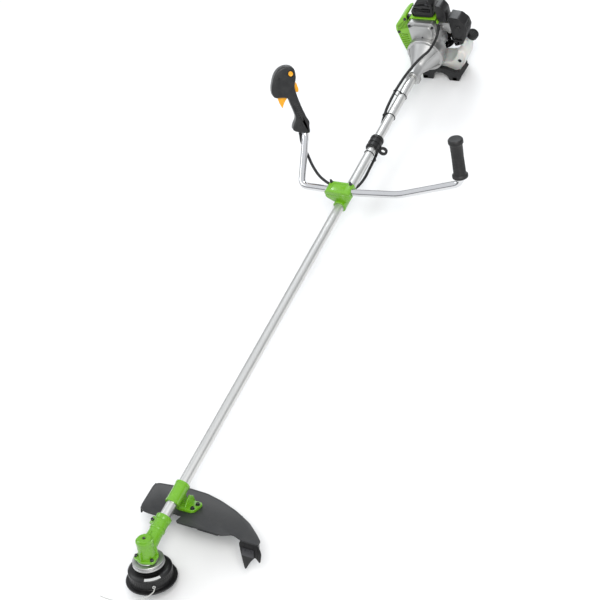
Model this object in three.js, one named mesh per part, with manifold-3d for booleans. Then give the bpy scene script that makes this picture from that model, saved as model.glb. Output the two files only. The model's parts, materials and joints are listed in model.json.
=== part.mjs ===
// Petrol brush cutter: a bump-feed line head on a long straight shaft, a bike handlebar with a
// throttle grip, and a small two-stroke engine. Sizes are millimetres, +Z is up, +Y runs along the
// shaft from the head to the engine and +X is the operator's left. It lies as it is put down, on the
// engine's stand and the rim of the head, with the shaft level.

import * as THREE from 'three';
import { mergeVertices } from 'three/addons/utils/BufferGeometryUtils.js';
import Module from 'manifold-3d';

// ---------------------------------------------------------------- driving sizes

const GAP = 0.3; // between faces that touch
const RUN = 0.8; // between a turning part and the part that holds it

// shaft
const TUBE_R = 13;
const TUBE_WALL = 1.8;
const TUBE_START = 36; // the tube's lower end, from where the shaft axis meets the output axis
const DRIVE_R = 3.5;
const BUSH_LENGTH = 24;

// places along the shaft
const COLLAR_END = 88;
const GUARD_Y = 152;
const BAR_Y = 1092;
const HARNESS_Y = 1300;
const ENGINE_Y = 1562;

// gear case and bevel gears
const OUTPUT_ANGLE = 68; // degrees between the shaft and the output spindle
const COLLAR_R = 17.5;
const BARREL_R = 20;
const BARREL_BORE = 16.2;
const GEAR_CONE = 22; // outer cone distance of both bevel gears
const GEAR_FACE = 8;
const PINION_TEETH = 14;
const GEAR_TEETH = 19;
const SPINDLE_R = 5;

// head
const DRUM_R = 51.5;
const DRUM_TOP = -48;
const DRUM_BOTTOM = -79;
const FLANGE_R = 60;
const COVER_R = 38; // bottom rim, which the machine rests on
const COVER_BOTTOM = -99;
const HEAD_WALL = 3;
const KNOB_R = 22;
const PLATE_TOP = -16; // the gear case's base plate
const PLATE_BOTTOM = -23;
const BUMP_TRAVEL = 5;
const LINE_R = 1.2;

// guard
const GUARD_TILT = 10; // degrees more than the head
const GUARD_THICK = 3;
const GUARD_LIP = 18;

// handlebar
const BAR_R = 9.5;
const BAR_WALL = 1.6;
const BAR_RISE = 34; // bar centre above the shaft axis
const BAR_BEND = 20;
const BRACKET_HALF = 37;
const BRACKET_DEPTH = 38;
const GRIP_LENGTH = 112;
const GRIP_R = 16.5;
const THROTTLE_HALF = 17; // half the width of the throttle housing
const THROTTLE_SOCKET = 50; // how far the bar goes into it
const THROTTLE_SET = 4; // the bar's centre, ahead of the grip's axis

// engine, along its crank axis from the tube's joint
const NOSE_R = 19;
const NOSE_END = 44;
const BELL_R = 54;
const BELL_START = 96;
const BELL_END = 134;
const DRUM_CUP_R = 33;
const FLYWHEEL_R = 45;
const CYLINDER_Y = 162;
const BORE_R = 18;
const CRANK_THROW = 12;
const SHELL = 2.5; // walls of the moulded and pressed covers

// conduit
const CONDUIT_R = 4;

// ---------------------------------------------------------------- helpers

const wasm = await Module();
wasm.setup();

const vec = ([x, y, z]) => new THREE.Vector3(x, y, z);
const radians = (degrees) => (degrees * Math.PI) / 180;

// A closed three.js geometry as a manifold solid, with its faces pointing out.
function solid(geometry) {
  const plain = new THREE.BufferGeometry();
  plain.setAttribute('position', geometry.getAttribute('position').clone());
  if (geometry.index) plain.setIndex(geometry.index.clone());
  const merged = mergeVertices(plain, 1e-4);
  const points = merged.getAttribute('position');
  const corners = merged.index.array;
  const faces = [];
  let volume = 0;
  for (let i = 0; i < corners.length; i += 3) {
    const [a, b, c] = [corners[i], corners[i + 1], corners[i + 2]];
    if (a === b || b === c || a === c) continue;
    faces.push([a, b, c]);
    const [p, q, r] = [a, b, c].map((k) => new THREE.Vector3().fromBufferAttribute(points, k));
    volume += p.dot(q.cross(r));
  }
  if (volume < 0) faces.forEach((face) => face.reverse());
  const triVerts = Uint32Array.from(faces.flat());
  const vertProperties = Float32Array.from(points.array);
  return new wasm.Manifold(new wasm.Mesh({ numProp: 3, vertProperties, triVerts }));
}

// A manifold solid as a three.js geometry.
function shape(manifold) {
  const mesh = manifold.getMesh();
  const geometry = new THREE.BufferGeometry();
  geometry.setAttribute('position', new THREE.BufferAttribute(mesh.vertProperties, 3));
  geometry.setIndex(new THREE.BufferAttribute(mesh.triVerts, 1));
  return geometry;
}

const join = (...pieces) => shape(pieces.map(solid).reduce((whole, piece) => whole.add(piece)));

function cut(piece, ...tools) {
  return shape(tools.map(solid).reduce((rest, tool) => rest.subtract(tool), solid(piece)));
}

const move = (geometry, x, y, z) => geometry.clone().translate(x, y, z);

// A cylinder or cone between two points.
function rod(radius, from, to, sides = 20, endRadius = radius) {
  const along = vec(to).sub(vec(from));
  const geometry = new THREE.CylinderGeometry(endRadius, radius, along.length(), sides);
  const turn = new THREE.Quaternion();
  turn.setFromUnitVectors(new THREE.Vector3(0, 1, 0), along.clone().normalize());
  geometry.applyQuaternion(turn);
  const middle = vec(from).addScaledVector(along, 0.5);
  return geometry.translate(middle.x, middle.y, middle.z);
}

// A tube between two points, open at both ends.
function ring(outer, inner, from, to, sides = 20) {
  const along = vec(to).sub(vec(from)).normalize();
  const before = vec(from).sub(along).toArray();
  const after = vec(to).add(along).toArray();
  return cut(rod(outer, from, to, sides), rod(inner, before, after, sides));
}

// A box between two opposite corners.
function box([x0, y0, z0], [x1, y1, z1]) {
  const geometry = new THREE.BoxGeometry(x1 - x0, y1 - y0, z1 - z0);
  return geometry.translate((x0 + x1) / 2, (y0 + y1) / 2, (z0 + z1) / 2);
}

// A closed profile of [radius, height] points turned about the z axis.
function lathe(profile, sides) {
  const points = [...profile, profile[0]].map(([r, z]) => new THREE.Vector2(r, z));
  return new THREE.LatheGeometry(points, sides).rotateX(Math.PI / 2);
}

const turned = (profile, sides = 24) => shape(solid(lathe(profile, sides)));

// The same about the y axis, with heights along y.
function turnedAlongY(profile, sides = 24) {
  return turned(profile, sides).rotateX(-Math.PI / 2);
}

// An outline of [x, y] points, extruded along z from one height to another.
function slab(outline, low, high) {
  const drawn = new THREE.Shape(outline.map(([x, y]) => new THREE.Vector2(x, y)));
  const geometry = new THREE.ExtrudeGeometry(drawn, { depth: high - low, bevelEnabled: false });
  return geometry.translate(0, 0, low);
}

// An outline of [x, z] points, extruded along y.
function slabAlongY(outline, near, far) {
  return slab(outline, -far, -near).rotateX(Math.PI / 2);
}

// An outline moved inwards by a wall's thickness, for a hollow inside it.
function inset(outline, wall) {
  const area = outline.reduce((sum, [x, y], i) => {
    const [nx, ny] = outline[(i + 1) % outline.length];
    return sum + x * ny - nx * y;
  }, 0);
  const side = Math.sign(area);
  return outline.map(([x, y], i) => {
    const [px, py] = outline[(i + outline.length - 1) % outline.length];
    const [nx, ny] = outline[(i + 1) % outline.length];
    const before = new THREE.Vector2(x - px, y - py).normalize();
    const after = new THREE.Vector2(nx - x, ny - y).normalize();
    const inward = new THREE.Vector2(-before.y - after.y, before.x + after.x).multiplyScalar(side);
    const reach = (2 * wall) / inward.lengthSq();
    return [x + inward.x * reach, y + inward.y * reach];
  });
}

const circle = (radius, sides) => Array.from({ length: sides }, (_, i) => {
  const angle = (2 * Math.PI * i) / sides;
  return new THREE.Vector2(radius * Math.cos(angle), radius * Math.sin(angle));
});

// A curve that stops at each of its points, so that straight runs need none in between.
class StopPath extends THREE.Curve {
  constructor(points) {
    super();
    this.points = points;
  }

  getPointAt(u, target = new THREE.Vector3()) {
    return target.copy(this.points[Math.round(u * (this.points.length - 1))]);
  }

  getTangentAt(u, target = new THREE.Vector3()) {
    const i = Math.round(u * (this.points.length - 1));
    const [before, here, after] = [i - 1, i, i + 1].map((k) => this.points[k]);
    target.set(0, 0, 0);
    if (before) target.add(here.clone().sub(before).normalize());
    if (after) target.add(after.clone().sub(here).normalize());
    return target.normalize();
  }
}

// A round bar, or a tube when it has a bore, through a list of points.
function pipe(points, radius, bore, sides) {
  const section = new THREE.Shape(circle(radius, sides));
  if (bore) section.holes.push(new THREE.Path(circle(bore, sides)));
  const options = {
    steps: points.length - 1, extrudePath: new StopPath(points), bevelEnabled: false,
  };
  return shape(solid(new THREE.ExtrudeGeometry(section, options)));
}

const smooth = (points, steps) => new THREE.CatmullRomCurve3(points).getSpacedPoints(steps);

// Straight runs between corner points, with each corner rounded.
function bent(corners, bend) {
  const points = [corners[0]];
  for (let i = 1; i < corners.length - 1; i += 1) {
    const corner = corners[i];
    const into = corner.clone().sub(corners[i - 1]).normalize();
    const out = corners[i + 1].clone().sub(corner).normalize();
    const enter = corner.clone().addScaledVector(into, -bend);
    const leave = corner.clone().addScaledVector(out, bend);
    points.push(...new THREE.QuadraticBezierCurve3(enter, corner, leave).getPoints(6));
  }
  return [...points, corners.at(-1)];
}

// A hexagon-headed bolt with its head at the first point.
function bolt(shank, from, to) {
  const along = vec(to).sub(vec(from)).normalize();
  const headEnd = vec(from).addScaledVector(along, -shank * 1.2).toArray();
  return join(rod(shank, headEnd, to, 12), rod(shank * 1.8, headEnd, from, 6));
}

// ---------------------------------------------------------------- finishes

const finish = (color, roughness, metalness = 0) => ({ color, roughness, metalness });
const GREEN = finish(0x6fb52a, 0.35, 0.1);
const SATIN = finish(0xd4d6d8, 0.35, 0.6);
const CAST = finish(0xb9bcbd, 0.55, 0.6);
const CHROME = finish(0xd8dadc, 0.1, 1);
const STEEL = finish(0x8d9093, 0.4, 0.9);
const DARK_STEEL = finish(0x3a3c3e, 0.45, 0.8);
const BLACK = finish(0x1c1d1e, 0.5);
const GREY = finish(0x45474a, 0.55);
const RUBBER = finish(0x3a3b3c, 0.85);
const YELLOW = finish(0xf3ab1c, 0.4);
const TANK_WHITE = finish(0xe8eaea, 0.4);
const NYLON = finish(0xdfe3e4, 0.4);

const machine = new THREE.Group();

function frame(parent, { at = [0, 0, 0], tilt = 0 } = {}) {
  const group = new THREE.Group();
  group.position.set(...at);
  group.rotation.x = radians(tilt);
  parent.add(group);
  return group;
}

function add(parent, name, geometry, look) {
  const mesh = new THREE.Mesh(geometry, new THREE.MeshStandardMaterial(look));
  geometry.computeVertexNormals();
  mesh.name = name;
  parent.add(mesh);
  return mesh;
}

// The head's frame has its z axis on the output spindle, pointing up through the gear case.
const head = frame(machine, { tilt: OUTPUT_ANGLE - 90 });
const onHead = (geometry) => geometry.clone().rotateX(radians(OUTPUT_ANGLE - 90));

// How far the floor is below the shaft axis: the cover's rear rim rests on it.
const FLOOR = COVER_BOTTOM * Math.sin(radians(OUTPUT_ANGLE)) - COVER_R * Math.cos(radians(OUTPUT_ANGLE));

// ---------------------------------------------------------------- shaft

function shaft() {
  const tubeEnd = ENGINE_Y + NOSE_END - 4;
  const bore = TUBE_R - TUBE_WALL;
  const tube = ring(TUBE_R, bore, [0, TUBE_START, 0], [0, tubeEnd, 0], 24);
  add(machine, 'shaft_tube', tube, SATIN);

  const drive = rod(DRIVE_R, [0, 22, 0], [0, ENGINE_Y + BELL_START - 20, 0], 12);
  add(machine, 'drive_shaft', drive, STEEL);

  const bushY = (TUBE_START + tubeEnd) / 2;
  const bush = ring(bore - GAP, DRIVE_R + GAP, [0, bushY, 0], [0, bushY + BUSH_LENGTH, 0]);
  add(machine, 'shaft_bush', bush, BLACK);
}

// ---------------------------------------------------------------- gear case

// A toothed cone about the z axis: every second edge of the lathe is drawn in to the tooth's root.
function bevelGear(halfAngle, teeth, boreRadius, hubEnd) {
  const near = GEAR_CONE - GEAR_FACE;
  const [sin, cos] = [Math.sin(radians(halfAngle)), Math.cos(radians(halfAngle))];
  const hubR = boreRadius + 2.2;
  const profile = [
    [boreRadius, near * cos], [near * sin, near * cos], [GEAR_CONE * sin, GEAR_CONE * cos],
    [hubR, GEAR_CONE * cos], [hubR, hubEnd], [boreRadius, hubEnd],
  ];
  const geometry = lathe(profile, teeth * 2);
  const points = geometry.getAttribute('position');
  for (let i = 0; i < points.count; i += 1) {
    const [x, y] = [points.getX(i), points.getY(i)];
    const step = Math.round((Math.atan2(x, -y) / Math.PI) * teeth);
    const radius = Math.hypot(x, y);
    if (radius > hubR + 0.1 && Math.abs(step) % 2 === 1) {
      points.setXY(i, x * (1 - 1.7 / radius), y * (1 - 1.7 / radius));
    }
  }
  return shape(solid(geometry));
}

function gearCase() {
  const collar = join(
    rod(COLLAR_R, [0, 20, 0], [0, COLLAR_END, 0], 24),
    rod(COLLAR_R + 1.6, [0, COLLAR_END - 12, 0], [0, COLLAR_END, 0], 24),
    rod(COLLAR_R + 1.6, [0, 50, 0], [0, 56, 0], 24),
    rod(BARREL_R - 1, [0, -2, 0], [0, 44, 0], 24),
    box([-COLLAR_R - 9, 62, -7], [-8, 80, 7]),
  );
  const lobes = [20, 140, 260].map((degrees) => {
    const [x, y] = [25 * Math.cos(radians(degrees + 70)), 25 * Math.sin(radians(degrees + 70))];
    return rod(7, [x, y, PLATE_BOTTOM], [x, y, PLATE_TOP], 12);
  });
  const barrel = onHead(join(
    rod(BARREL_R, [0, 0, PLATE_BOTTOM], [0, 0, 28], 24),
    rod(BARREL_R - 3, [0, 0, 28], [0, 0, 33], 24),
    rod(BARREL_R + 7, [0, 0, PLATE_BOTTOM], [0, 0, PLATE_TOP], 24),
    ...lobes,
  ));
  const hollow = onHead(rod(BARREL_BORE, [0, 0, PLATE_BOTTOM - 1], [0, 0, 23], 24));
  const casing = cut(
    join(collar, barrel),
    hollow,
    rod(TUBE_R + GAP, [0, TUBE_START - GAP, 0], [0, COLLAR_END + 1, 0], 24),
    rod(BARREL_BORE - 4, [0, 0, 0], [0, TUBE_START, 0], 24),
    box([-COLLAR_R - 12, 58, -1], [-TUBE_R + 1, COLLAR_END + 1, 1]),
    rod(3.3, [-COLLAR_R - 3, 71, -9], [-COLLAR_R - 3, 71, 9], 12),
  );
  add(machine, 'gear_case', casing, GREEN);
  const clampX = -COLLAR_R - 3;
  add(machine, 'gear_clamp_bolt', bolt(3, [clampX, 71, 7.3], [clampX, 71, -10]), DARK_STEEL);

  // The cones share their apex, and stop short of each other by one degree a side.
  const shaftAngle = radians(OUTPUT_ANGLE);
  const pitch = Math.atan2(Math.sin(shaftAngle), GEAR_TEETH / PINION_TEETH + Math.cos(shaftAngle));
  const pinionAngle = THREE.MathUtils.radToDeg(pitch) - 1;
  const gearAngle = OUTPUT_ANGLE - THREE.MathUtils.radToDeg(pitch) - 1;
  const pinion = bevelGear(pinionAngle, PINION_TEETH, DRIVE_R + GAP, 29).rotateX(-Math.PI / 2);
  add(machine, 'pinion_gear', pinion, STEEL);
  add(head, 'output_gear', bevelGear(gearAngle, GEAR_TEETH, SPINDLE_R + GAP, 20), STEEL);
  add(head, 'output_spindle', rod(SPINDLE_R, [0, 0, -70], [0, 0, 20], 16), STEEL);
  const bearing = ring(
    BARREL_BORE - GAP, SPINDLE_R + GAP, [0, 0, PLATE_BOTTOM + 1], [0, 0, PLATE_BOTTOM + 10], 24,
  );
  add(head, 'output_bearing', bearing, STEEL);
}

// ---------------------------------------------------------------- line head

// The way that the line leaves the head, in the head's frame.
const EXIT_ANGLE = -47;
const EXIT_HEIGHT = -68;
const exitPoint = (radius) => [
  radius * Math.cos(radians(EXIT_ANGLE)), radius * Math.sin(radians(EXIT_ANGLE)), EXIT_HEIGHT,
];

function lineHead() {
  const bore = SPINDLE_R + GAP;
  const disc = turned([
    [bore, -46], [14, -46], [14, -38], [37.5, -38], [37.5, -34], [34, -33], [34, -30],
    [36.5, -29], [36.5, -26.5], [24, -26.5], [24, -25], [bore, -25],
  ]);
  add(head, 'flange_disc', disc, CAST);

  const drumIn = DRUM_R - HEAD_WALL;
  const drum = turned([
    [bore, DRUM_TOP], [DRUM_R - 7.5, DRUM_TOP], [DRUM_R, DRUM_TOP - 5], [DRUM_R, DRUM_BOTTOM],
    [drumIn, DRUM_BOTTOM], [drumIn, DRUM_TOP - 4], [12, DRUM_TOP - 4], [12, -60], [bore, -60],
  ]);
  const slots = [EXIT_ANGLE, EXIT_ANGLE + 180].map((middle) => {
    const arc = [];
    for (let i = 0; i <= 6; i += 1) arc.push([DRUM_R - 11.5, middle - 27 + 9 * i]);
    for (let i = 6; i >= 0; i -= 1) arc.push([DRUM_R - 16, middle - 27 + 9 * i]);
    const outline = arc.map(([r, a]) => [r * Math.cos(radians(a)), r * Math.sin(radians(a))]);
    return slab(outline, DRUM_TOP - 6, DRUM_TOP + 1);
  });
  const exitHole = rod(4, exitPoint(DRUM_R - 8), exitPoint(DRUM_R + 3), 12);
  add(head, 'head_housing', cut(drum, ...slots, exitHole), BLACK);
  add(head, 'line_eyelet', ring(4 - GAP, 1.9, exitPoint(DRUM_R - 4), exitPoint(DRUM_R + 2), 12), SATIN);

  const rimTop = DRUM_BOTTOM - GAP;
  const cover = turned([
    [drumIn + 1, rimTop], [FLANGE_R, rimTop], [FLANGE_R, rimTop - 4], [FLANGE_R - 7, rimTop - 6],
    [COVER_R, COVER_BOTTOM], [KNOB_R + 1.5, COVER_BOTTOM], [KNOB_R + 1.5, COVER_BOTTOM + HEAD_WALL],
    [COVER_R - 1, COVER_BOTTOM + HEAD_WALL], [drumIn, rimTop - 6],
  ]);
  add(head, 'head_cover', cover, BLACK);

  const spoolTop = DRUM_TOP - 4 - BUMP_TRAVEL - 2;
  const spoolEnd = COVER_BOTTOM + HEAD_WALL + 6;
  const spoolR = (drumIn + COVER_R - 6.5) / 2;
  const spool = turned([
    [13.5, spoolTop], [spoolR, spoolTop], [spoolR, spoolTop - 2], [spoolR - 6, spoolTop - 3],
    [spoolR - 6, spoolEnd + 3], [spoolR, spoolEnd + 2], [spoolR, spoolEnd], [7, spoolEnd],
    [7, spoolEnd + 8], [13.5, spoolEnd + 8],
  ]);
  add(head, 'line_spool', spool, YELLOW);
  const knobTop = spoolEnd - GAP;
  const knob = turned([
    [0, knobTop], [KNOB_R, knobTop], [KNOB_R, COVER_BOTTOM - 1], [KNOB_R - 5, COVER_BOTTOM - 5],
    [0, COVER_BOTTOM - 5],
  ]);
  add(head, 'bump_knob', knob, BLACK);

  const turns = 5;
  const low = spoolEnd + 8 + GAP + 1;
  const high = -60 - GAP - 1;
  const helix = Array.from({ length: turns * 10 + 1 }, (_, i) => {
    const angle = (i / 10) * 2 * Math.PI;
    const rise = low + ((high - low) * i) / (turns * 10);
    return new THREE.Vector3(9.5 * Math.cos(angle), 9.5 * Math.sin(angle), rise);
  });
  add(head, 'head_spring', pipe(helix, 0.9, 0, 6), STEEL);

  // The cutting line's free end, from the eyelet outwards.
  const start = exitPoint(DRUM_R + 2.6);
  const route = [
    start, exitPoint(DRUM_R + 9), [43.5, -53, -68.5], [41, -65, -69], [33, -77, -70], [21, -87, -71.5],
    [7, -94.5, -73], [-9, -99.5, -75], [-26, -102, -77], [-43, -102.5, -79], [-60, -101, -81],
    [-76, -98, -83],
  ];
  const line = pipe(smooth(route.map(vec), 24), LINE_R, 0, 8);
  add(head, 'trimmer_line', line, NYLON);
}

// ---------------------------------------------------------------- guard

// The guard's frame lies on its top face, with y pointing back towards the engine.
const headUp = [Math.cos(radians(OUTPUT_ANGLE)), Math.sin(radians(OUTPUT_ANGLE))];
const guardAt = [0, 100 * headUp[1] + 24 * headUp[0], -100 * headUp[0] + 24 * headUp[1]];
const guardTilt = OUTPUT_ANGLE - 90 - GUARD_TILT;
const guardFrame = frame(machine, { at: guardAt, tilt: guardTilt });
const toGuard = (geometry) => move(geometry, 0, -guardAt[1], -guardAt[2]).rotateX(-radians(guardTilt));

function guard() {
  const outline = [
    [-86, 2], [-66, -12], [-26, -14], [-25, 12], [25, 12], [26, -16], [71, -17], [151, -18],
    [174, -2], [206, -14], [250, -14], [246, 2], [223, 24], [180, 60], [124, 92], [66, 116],
    [18, 129], [-36, 131], [-127, 116],
  ];
  const under = -GUARD_THICK;
  const plate = slab(outline, under, 0);
  const lipBand = cut(slab(outline, under - GUARD_LIP, under), slab(inset(outline, GUARD_THICK), -99, 9));
  const lip = cut(
    lipBand,
    box([-90, -30, -99], [300, 14, 9]),
    box([186, -30, -99], [300, 90, 9]),
    box([-140, -20, -99], [-60, 100, 9]),
  );
  const holes = [[12, 62], [36, 62], [36, 40]].map(([x, y]) => rod(3.3, [x, y, -9], [x, y, 9], 12));
  add(guardFrame, 'guard', cut(join(plate, lip), ...holes), GREY);

  // The extension closes the guard's end, and carries the blade that trims the line.
  const top = under - GAP;
  const flap = slabAlongY([
    [196, top], [248, top], [256, top - 20], [252, top - 45], [240, top - 32], [226, top - 48],
    [212, top - 72], [204, top - 42],
  ], -13, -13 + GUARD_THICK);
  const wallLine = [[248, -13], [243, 2], [221, 23], [190, 47], [188, 44], [218, 20], [239, 1], [244, -13]];
  const wall = slab(wallLine, top - 34, top);
  const shelf = slab([[196, -13], [248, -13], [243, 2], [221, 23], [204, 20]], top - 2.5, top);
  add(guardFrame, 'guard_skirt', join(flap, wall, shelf), BLACK);
  const blade = box([206, -15, top - 34], [238, -13 - GAP, top - 14]);
  add(guardFrame, 'line_cutter_blade', blade, STEEL);

  // The bracket: a split band round the tube, with a foot on the guard.
  const [near, far] = [GUARD_Y - 28, GUARD_Y + 28];
  const band = ring(TUBE_R + 5, TUBE_R + GAP, [0, near, 0], [0, far, 0], 24);
  const web = cut(
    box([-9, 34, GAP], [20, 84, 60]),
    toGuard(rod(TUBE_R + GAP, [0, 0, 0], [0, 400, 0], 24)),
    toGuard(box([-40, far - 2, -200], [40, far + 60, 200])),
    toGuard(box([-40, near - 60, -200], [40, near + 2, 200])),
    toGuard(box([-40, 0, 0], [40, 400, 60])),
  );
  const foot = cut(
    box([-9, 30, GAP], [44, 76, 7]),
    ...[[12, 62], [36, 62], [36, 40]].map(([x, y]) => rod(3.3, [x, y, -9], [x, y, 19], 12)),
    toGuard(rod(TUBE_R + GAP, [0, 0, 0], [0, 400, 0], 24)),
  );
  const placedBand = toGuard(band);
  add(guardFrame, 'guard_bracket', join(placedBand, web, foot), GREEN);
}

// ---------------------------------------------------------------- handlebar

const barAt = vec([0, BAR_Y, BAR_RISE]);
const leftCorner = vec([324, BAR_Y + 68, BAR_RISE + 16]);
const leftUp = vec([0, 0.232, 0.97]).normalize();
const rightKnee = vec([-140, BAR_Y + 118, BAR_RISE + 10]);
const rightUp = vec([-0.2, 0.38, 0.9]).normalize();
const throttleAt = rightKnee.clone().addScaledVector(rightUp, 50);
const gripAt = leftCorner.clone().addScaledVector(leftUp, BAR_BEND);
const outward = vec([-0.7, -0.7, 0]); // the way that the throttle grip faces
const gripForward = outward.clone().addScaledVector(rightUp, -outward.dot(rightUp)).normalize();
const barEnd = throttleAt.clone().addScaledVector(gripForward, THROTTLE_SET);

function handlebar() {
  const corners = [
    gripAt.clone().addScaledVector(leftUp, GRIP_LENGTH - 14),
    leftCorner,
    vec([165, BAR_Y + 14, BAR_RISE]),
    vec([45, BAR_Y, BAR_RISE]),
    vec([-118, BAR_Y, BAR_RISE]),
    barEnd.clone().addScaledVector(rightUp, -50),
    barEnd.clone().addScaledVector(rightUp, THROTTLE_SOCKET - 2),
  ];
  const bar = pipe(bent(corners, BAR_BEND), BAR_R, BAR_R - BAR_WALL, 12);
  add(machine, 'handlebar', bar, CHROME);

  const [near, far] = [BAR_Y - BRACKET_DEPTH / 2, BAR_Y + BRACKET_DEPTH / 2];
  const groove = rod(BAR_R + GAP, [-60, BAR_Y, BAR_RISE], [60, BAR_Y, BAR_RISE], 24);
  const studs = [-1, 1].map((side) => rod(
    3.3, [side * (BRACKET_HALF - 8), BAR_Y + 15, 0], [side * (BRACKET_HALF - 8), BAR_Y + 15, 60], 12,
  ));
  const bracket = cut(
    join(
      rod(TUBE_R + 5, [0, near - 8, 0], [0, far + 4, 0], 24),
      slabAlongY([
        [-BRACKET_HALF, BAR_RISE - GAP], [-BRACKET_HALF, BAR_RISE - 11], [-16, 8], [16, 8],
        [BRACKET_HALF, BAR_RISE - 11], [BRACKET_HALF, BAR_RISE - GAP],
      ], near, far),
    ),
    rod(TUBE_R + GAP, [0, near - 20, 0], [0, far + 20, 0], 24),
    groove,
    ...studs,
  );
  add(machine, 'bar_bracket', bracket, GREEN);
  const cap = slabAlongY([
    [-BRACKET_HALF, BAR_RISE + GAP], [BRACKET_HALF, BAR_RISE + GAP], [BRACKET_HALF, BAR_RISE + 9],
    [BRACKET_HALF - 6, BAR_RISE + 14], [6 - BRACKET_HALF, BAR_RISE + 14], [-BRACKET_HALF, BAR_RISE + 9],
  ], near, far);
  add(machine, 'bar_cap', cut(cap, groove, ...studs), GREEN);
  [-1, 1].forEach((side, i) => {
    const x = side * (BRACKET_HALF - 8);
    const stud = bolt(3, [x, BAR_Y + 15, BAR_RISE + 14 + GAP], [x, BAR_Y + 15, BAR_RISE - 13]);
    add(machine, `bar_bolt_${i + 1}`, stud, STEEL);
  });
}

// A frame standing on the bar's end, z along the grip and x towards the front of it.
function gripFrame(at, up, front) {
  const group = new THREE.Group();
  const x = vec(front).addScaledVector(up, -vec(front).dot(up)).normalize();
  const y = up.clone().cross(x);
  group.applyMatrix4(new THREE.Matrix4().makeBasis(x, y, up));
  group.position.copy(at);
  machine.add(group);
  return group;
}

function leftGrip() {
  const grip = gripFrame(gripAt, leftUp, [0, -1, 0]);
  const bore = BAR_R + GAP;
  const rubber = turned([
    [bore, 0], [GRIP_R + 4, 0], [GRIP_R + 4, 7], [GRIP_R, 11], [GRIP_R - 1, 55], [GRIP_R, 96],
    [GRIP_R + 3, 101], [GRIP_R + 3, GRIP_LENGTH - 4], [GRIP_R, GRIP_LENGTH], [0, GRIP_LENGTH],
    [0, GRIP_LENGTH - 12], [bore, GRIP_LENGTH - 12],
  ], 20);
  add(grip, 'left_grip', rubber, RUBBER);
}

function throttle() {
  const grip = gripFrame(throttleAt, rightUp, [-0.7, -0.7, 0]);
  const profile = [
    [-8.5, 3], [2, 3], [36, 20], [32, 34], [18, 50], [19, 70], [22, 90], [24, 111], [40, 117],
    [57, 120], [63, 131], [60, 149], [46, 177], [30, 192], [10, 196], [-7, 190], [-14, 180],
    [-12, 157], [-2, 140], [0, 124], [-3, 86], [-8, 56], [-10, 46], [-14.5, 32], [-10, 20],
  ];
  const socket = rod(
    BAR_R + GAP, [THROTTLE_SET, 0, -1], [THROTTLE_SET, 0, THROTTLE_SOCKET + GAP], 24,
  );
  const triggerRoom = slabAlongY([
    [17, 90], [9, 96], [8, 130], [13, 140], [53, 140], [55, 100], [39, 84],
  ], -6, 6);
  const lockRoom = slabAlongY([[-16, 112], [6, 112], [6, 156], [-7, 160], [-16, 150]], -5, 5);
  const buttonRoom = slabAlongY([[-5, 163], [5, 163], [8, 172], [5, 181], [-5, 181], [-8, 172]], 11, 20);
  const grown = [socket, triggerRoom, lockRoom, buttonRoom];
  const half = (low, high) => cut(slabAlongY(profile, low, high), ...grown);
  add(grip, 'throttle_housing', half(-THROTTLE_HALF, -GAP / 2), GREY);
  add(grip, 'throttle_cover', half(GAP / 2, THROTTLE_HALF), GREY);

  const trigger = cut(
    slabAlongY([
      [37, 134], [49, 134], [51, 122], [49, 100], [45, 86], [38, 98], [28, 108], [19, 112],
      [19, 120], [35, 126],
    ], -5, 5),
    rod(2, [43, -6, 129], [43, 6, 129], 10),
  );
  add(grip, 'throttle_trigger', trigger, YELLOW);
  const lock = slabAlongY([
    [-6, 152], [0, 150], [1, 132], [0, 118], [-8, 116], [-11, 124], [-9, 138],
  ], -4, 4);
  add(grip, 'trigger_lockout', lock, YELLOW);
  const button = slabAlongY([[-4, 165], [4, 165], [6.5, 172], [4, 179], [-4, 179], [-6.5, 172]], 14.5, 19);
  add(grip, 'stop_button', button, YELLOW);
}

// The cable and switch wires run in one corrugated conduit, held to the shaft by ties.
function conduit() {
  const aside = BAR_R + CONDUIT_R - 13.5; // further from a thicker bar
  const route = [
    [-164.8, 1220, 97.5], [-165.5 - aside, 1218.5, 88], [-164.5 - aside, 1212.5 + aside, 74],
    [-156 - aside, 1203 + aside, 62], [-133, 1179 + aside, 58 + aside], [-108, 1152 + aside, 50],
    [-82, 1132, 36], [-57, 1125, 20], [-32, 1128, 0], [-13, 1140, -18], [3, 1160, -22],
    [13, 1190, -18], [14, 1225, -15], [8, 1262, -22], [2, 1300, -25], [-8, 1340, -22],
    [-16, 1375, -11], [-18, 1408, 2], [-17, 1440, 12], [-16, 1490, 17], [-12, 1535, 20],
    [-3, 1563, 27], [12, 1592, 37], [27, 1607, 47], [42, 1620, 56], [58, 1631, 76], [68, 1640, 94],
    [68, 1655, 104], [63, 1672, 105],
  ];
  add(machine, 'throttle_conduit', pipe(smooth(route.map(vec), 64), CONDUIT_R, 0, 8), BLACK);
}

function harness() {
  const half = 22;
  const band = rod(TUBE_R + 4.5, [0, HARNESS_Y - half, 0], [0, HARNESS_Y + half, 0], 24);
  const ribs = [-15, 0, 15].map((offset) => rod(
    TUBE_R + 6, [0, HARNESS_Y + offset - 3, 0], [0, HARNESS_Y + offset + 3, 0], 24,
  ));
  const eyeX = TUBE_R + 16;
  const ear = join(
    rod(12.5, [eyeX, HARNESS_Y - 8, -3], [eyeX, HARNESS_Y - 8, 3], 24),
    box([TUBE_R, HARNESS_Y - 18, -3], [eyeX - 5, HARNESS_Y + 2, 3]),
  );
  const eye = rod(6, [eyeX, HARNESS_Y - 8, -9], [eyeX, HARNESS_Y - 8, 9], 16);
  const clamp = cut(
    join(band, ...ribs, ear),
    rod(TUBE_R + GAP, [0, HARNESS_Y - 40, 0], [0, HARNESS_Y + 40, 0], 24),
    eye,
  );
  add(machine, 'harness_clamp', clamp.rotateY(radians(30)), BLACK);
}

// ---------------------------------------------------------------- engine

const engine = frame(machine, { at: [0, ENGINE_Y, 0] });

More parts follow.
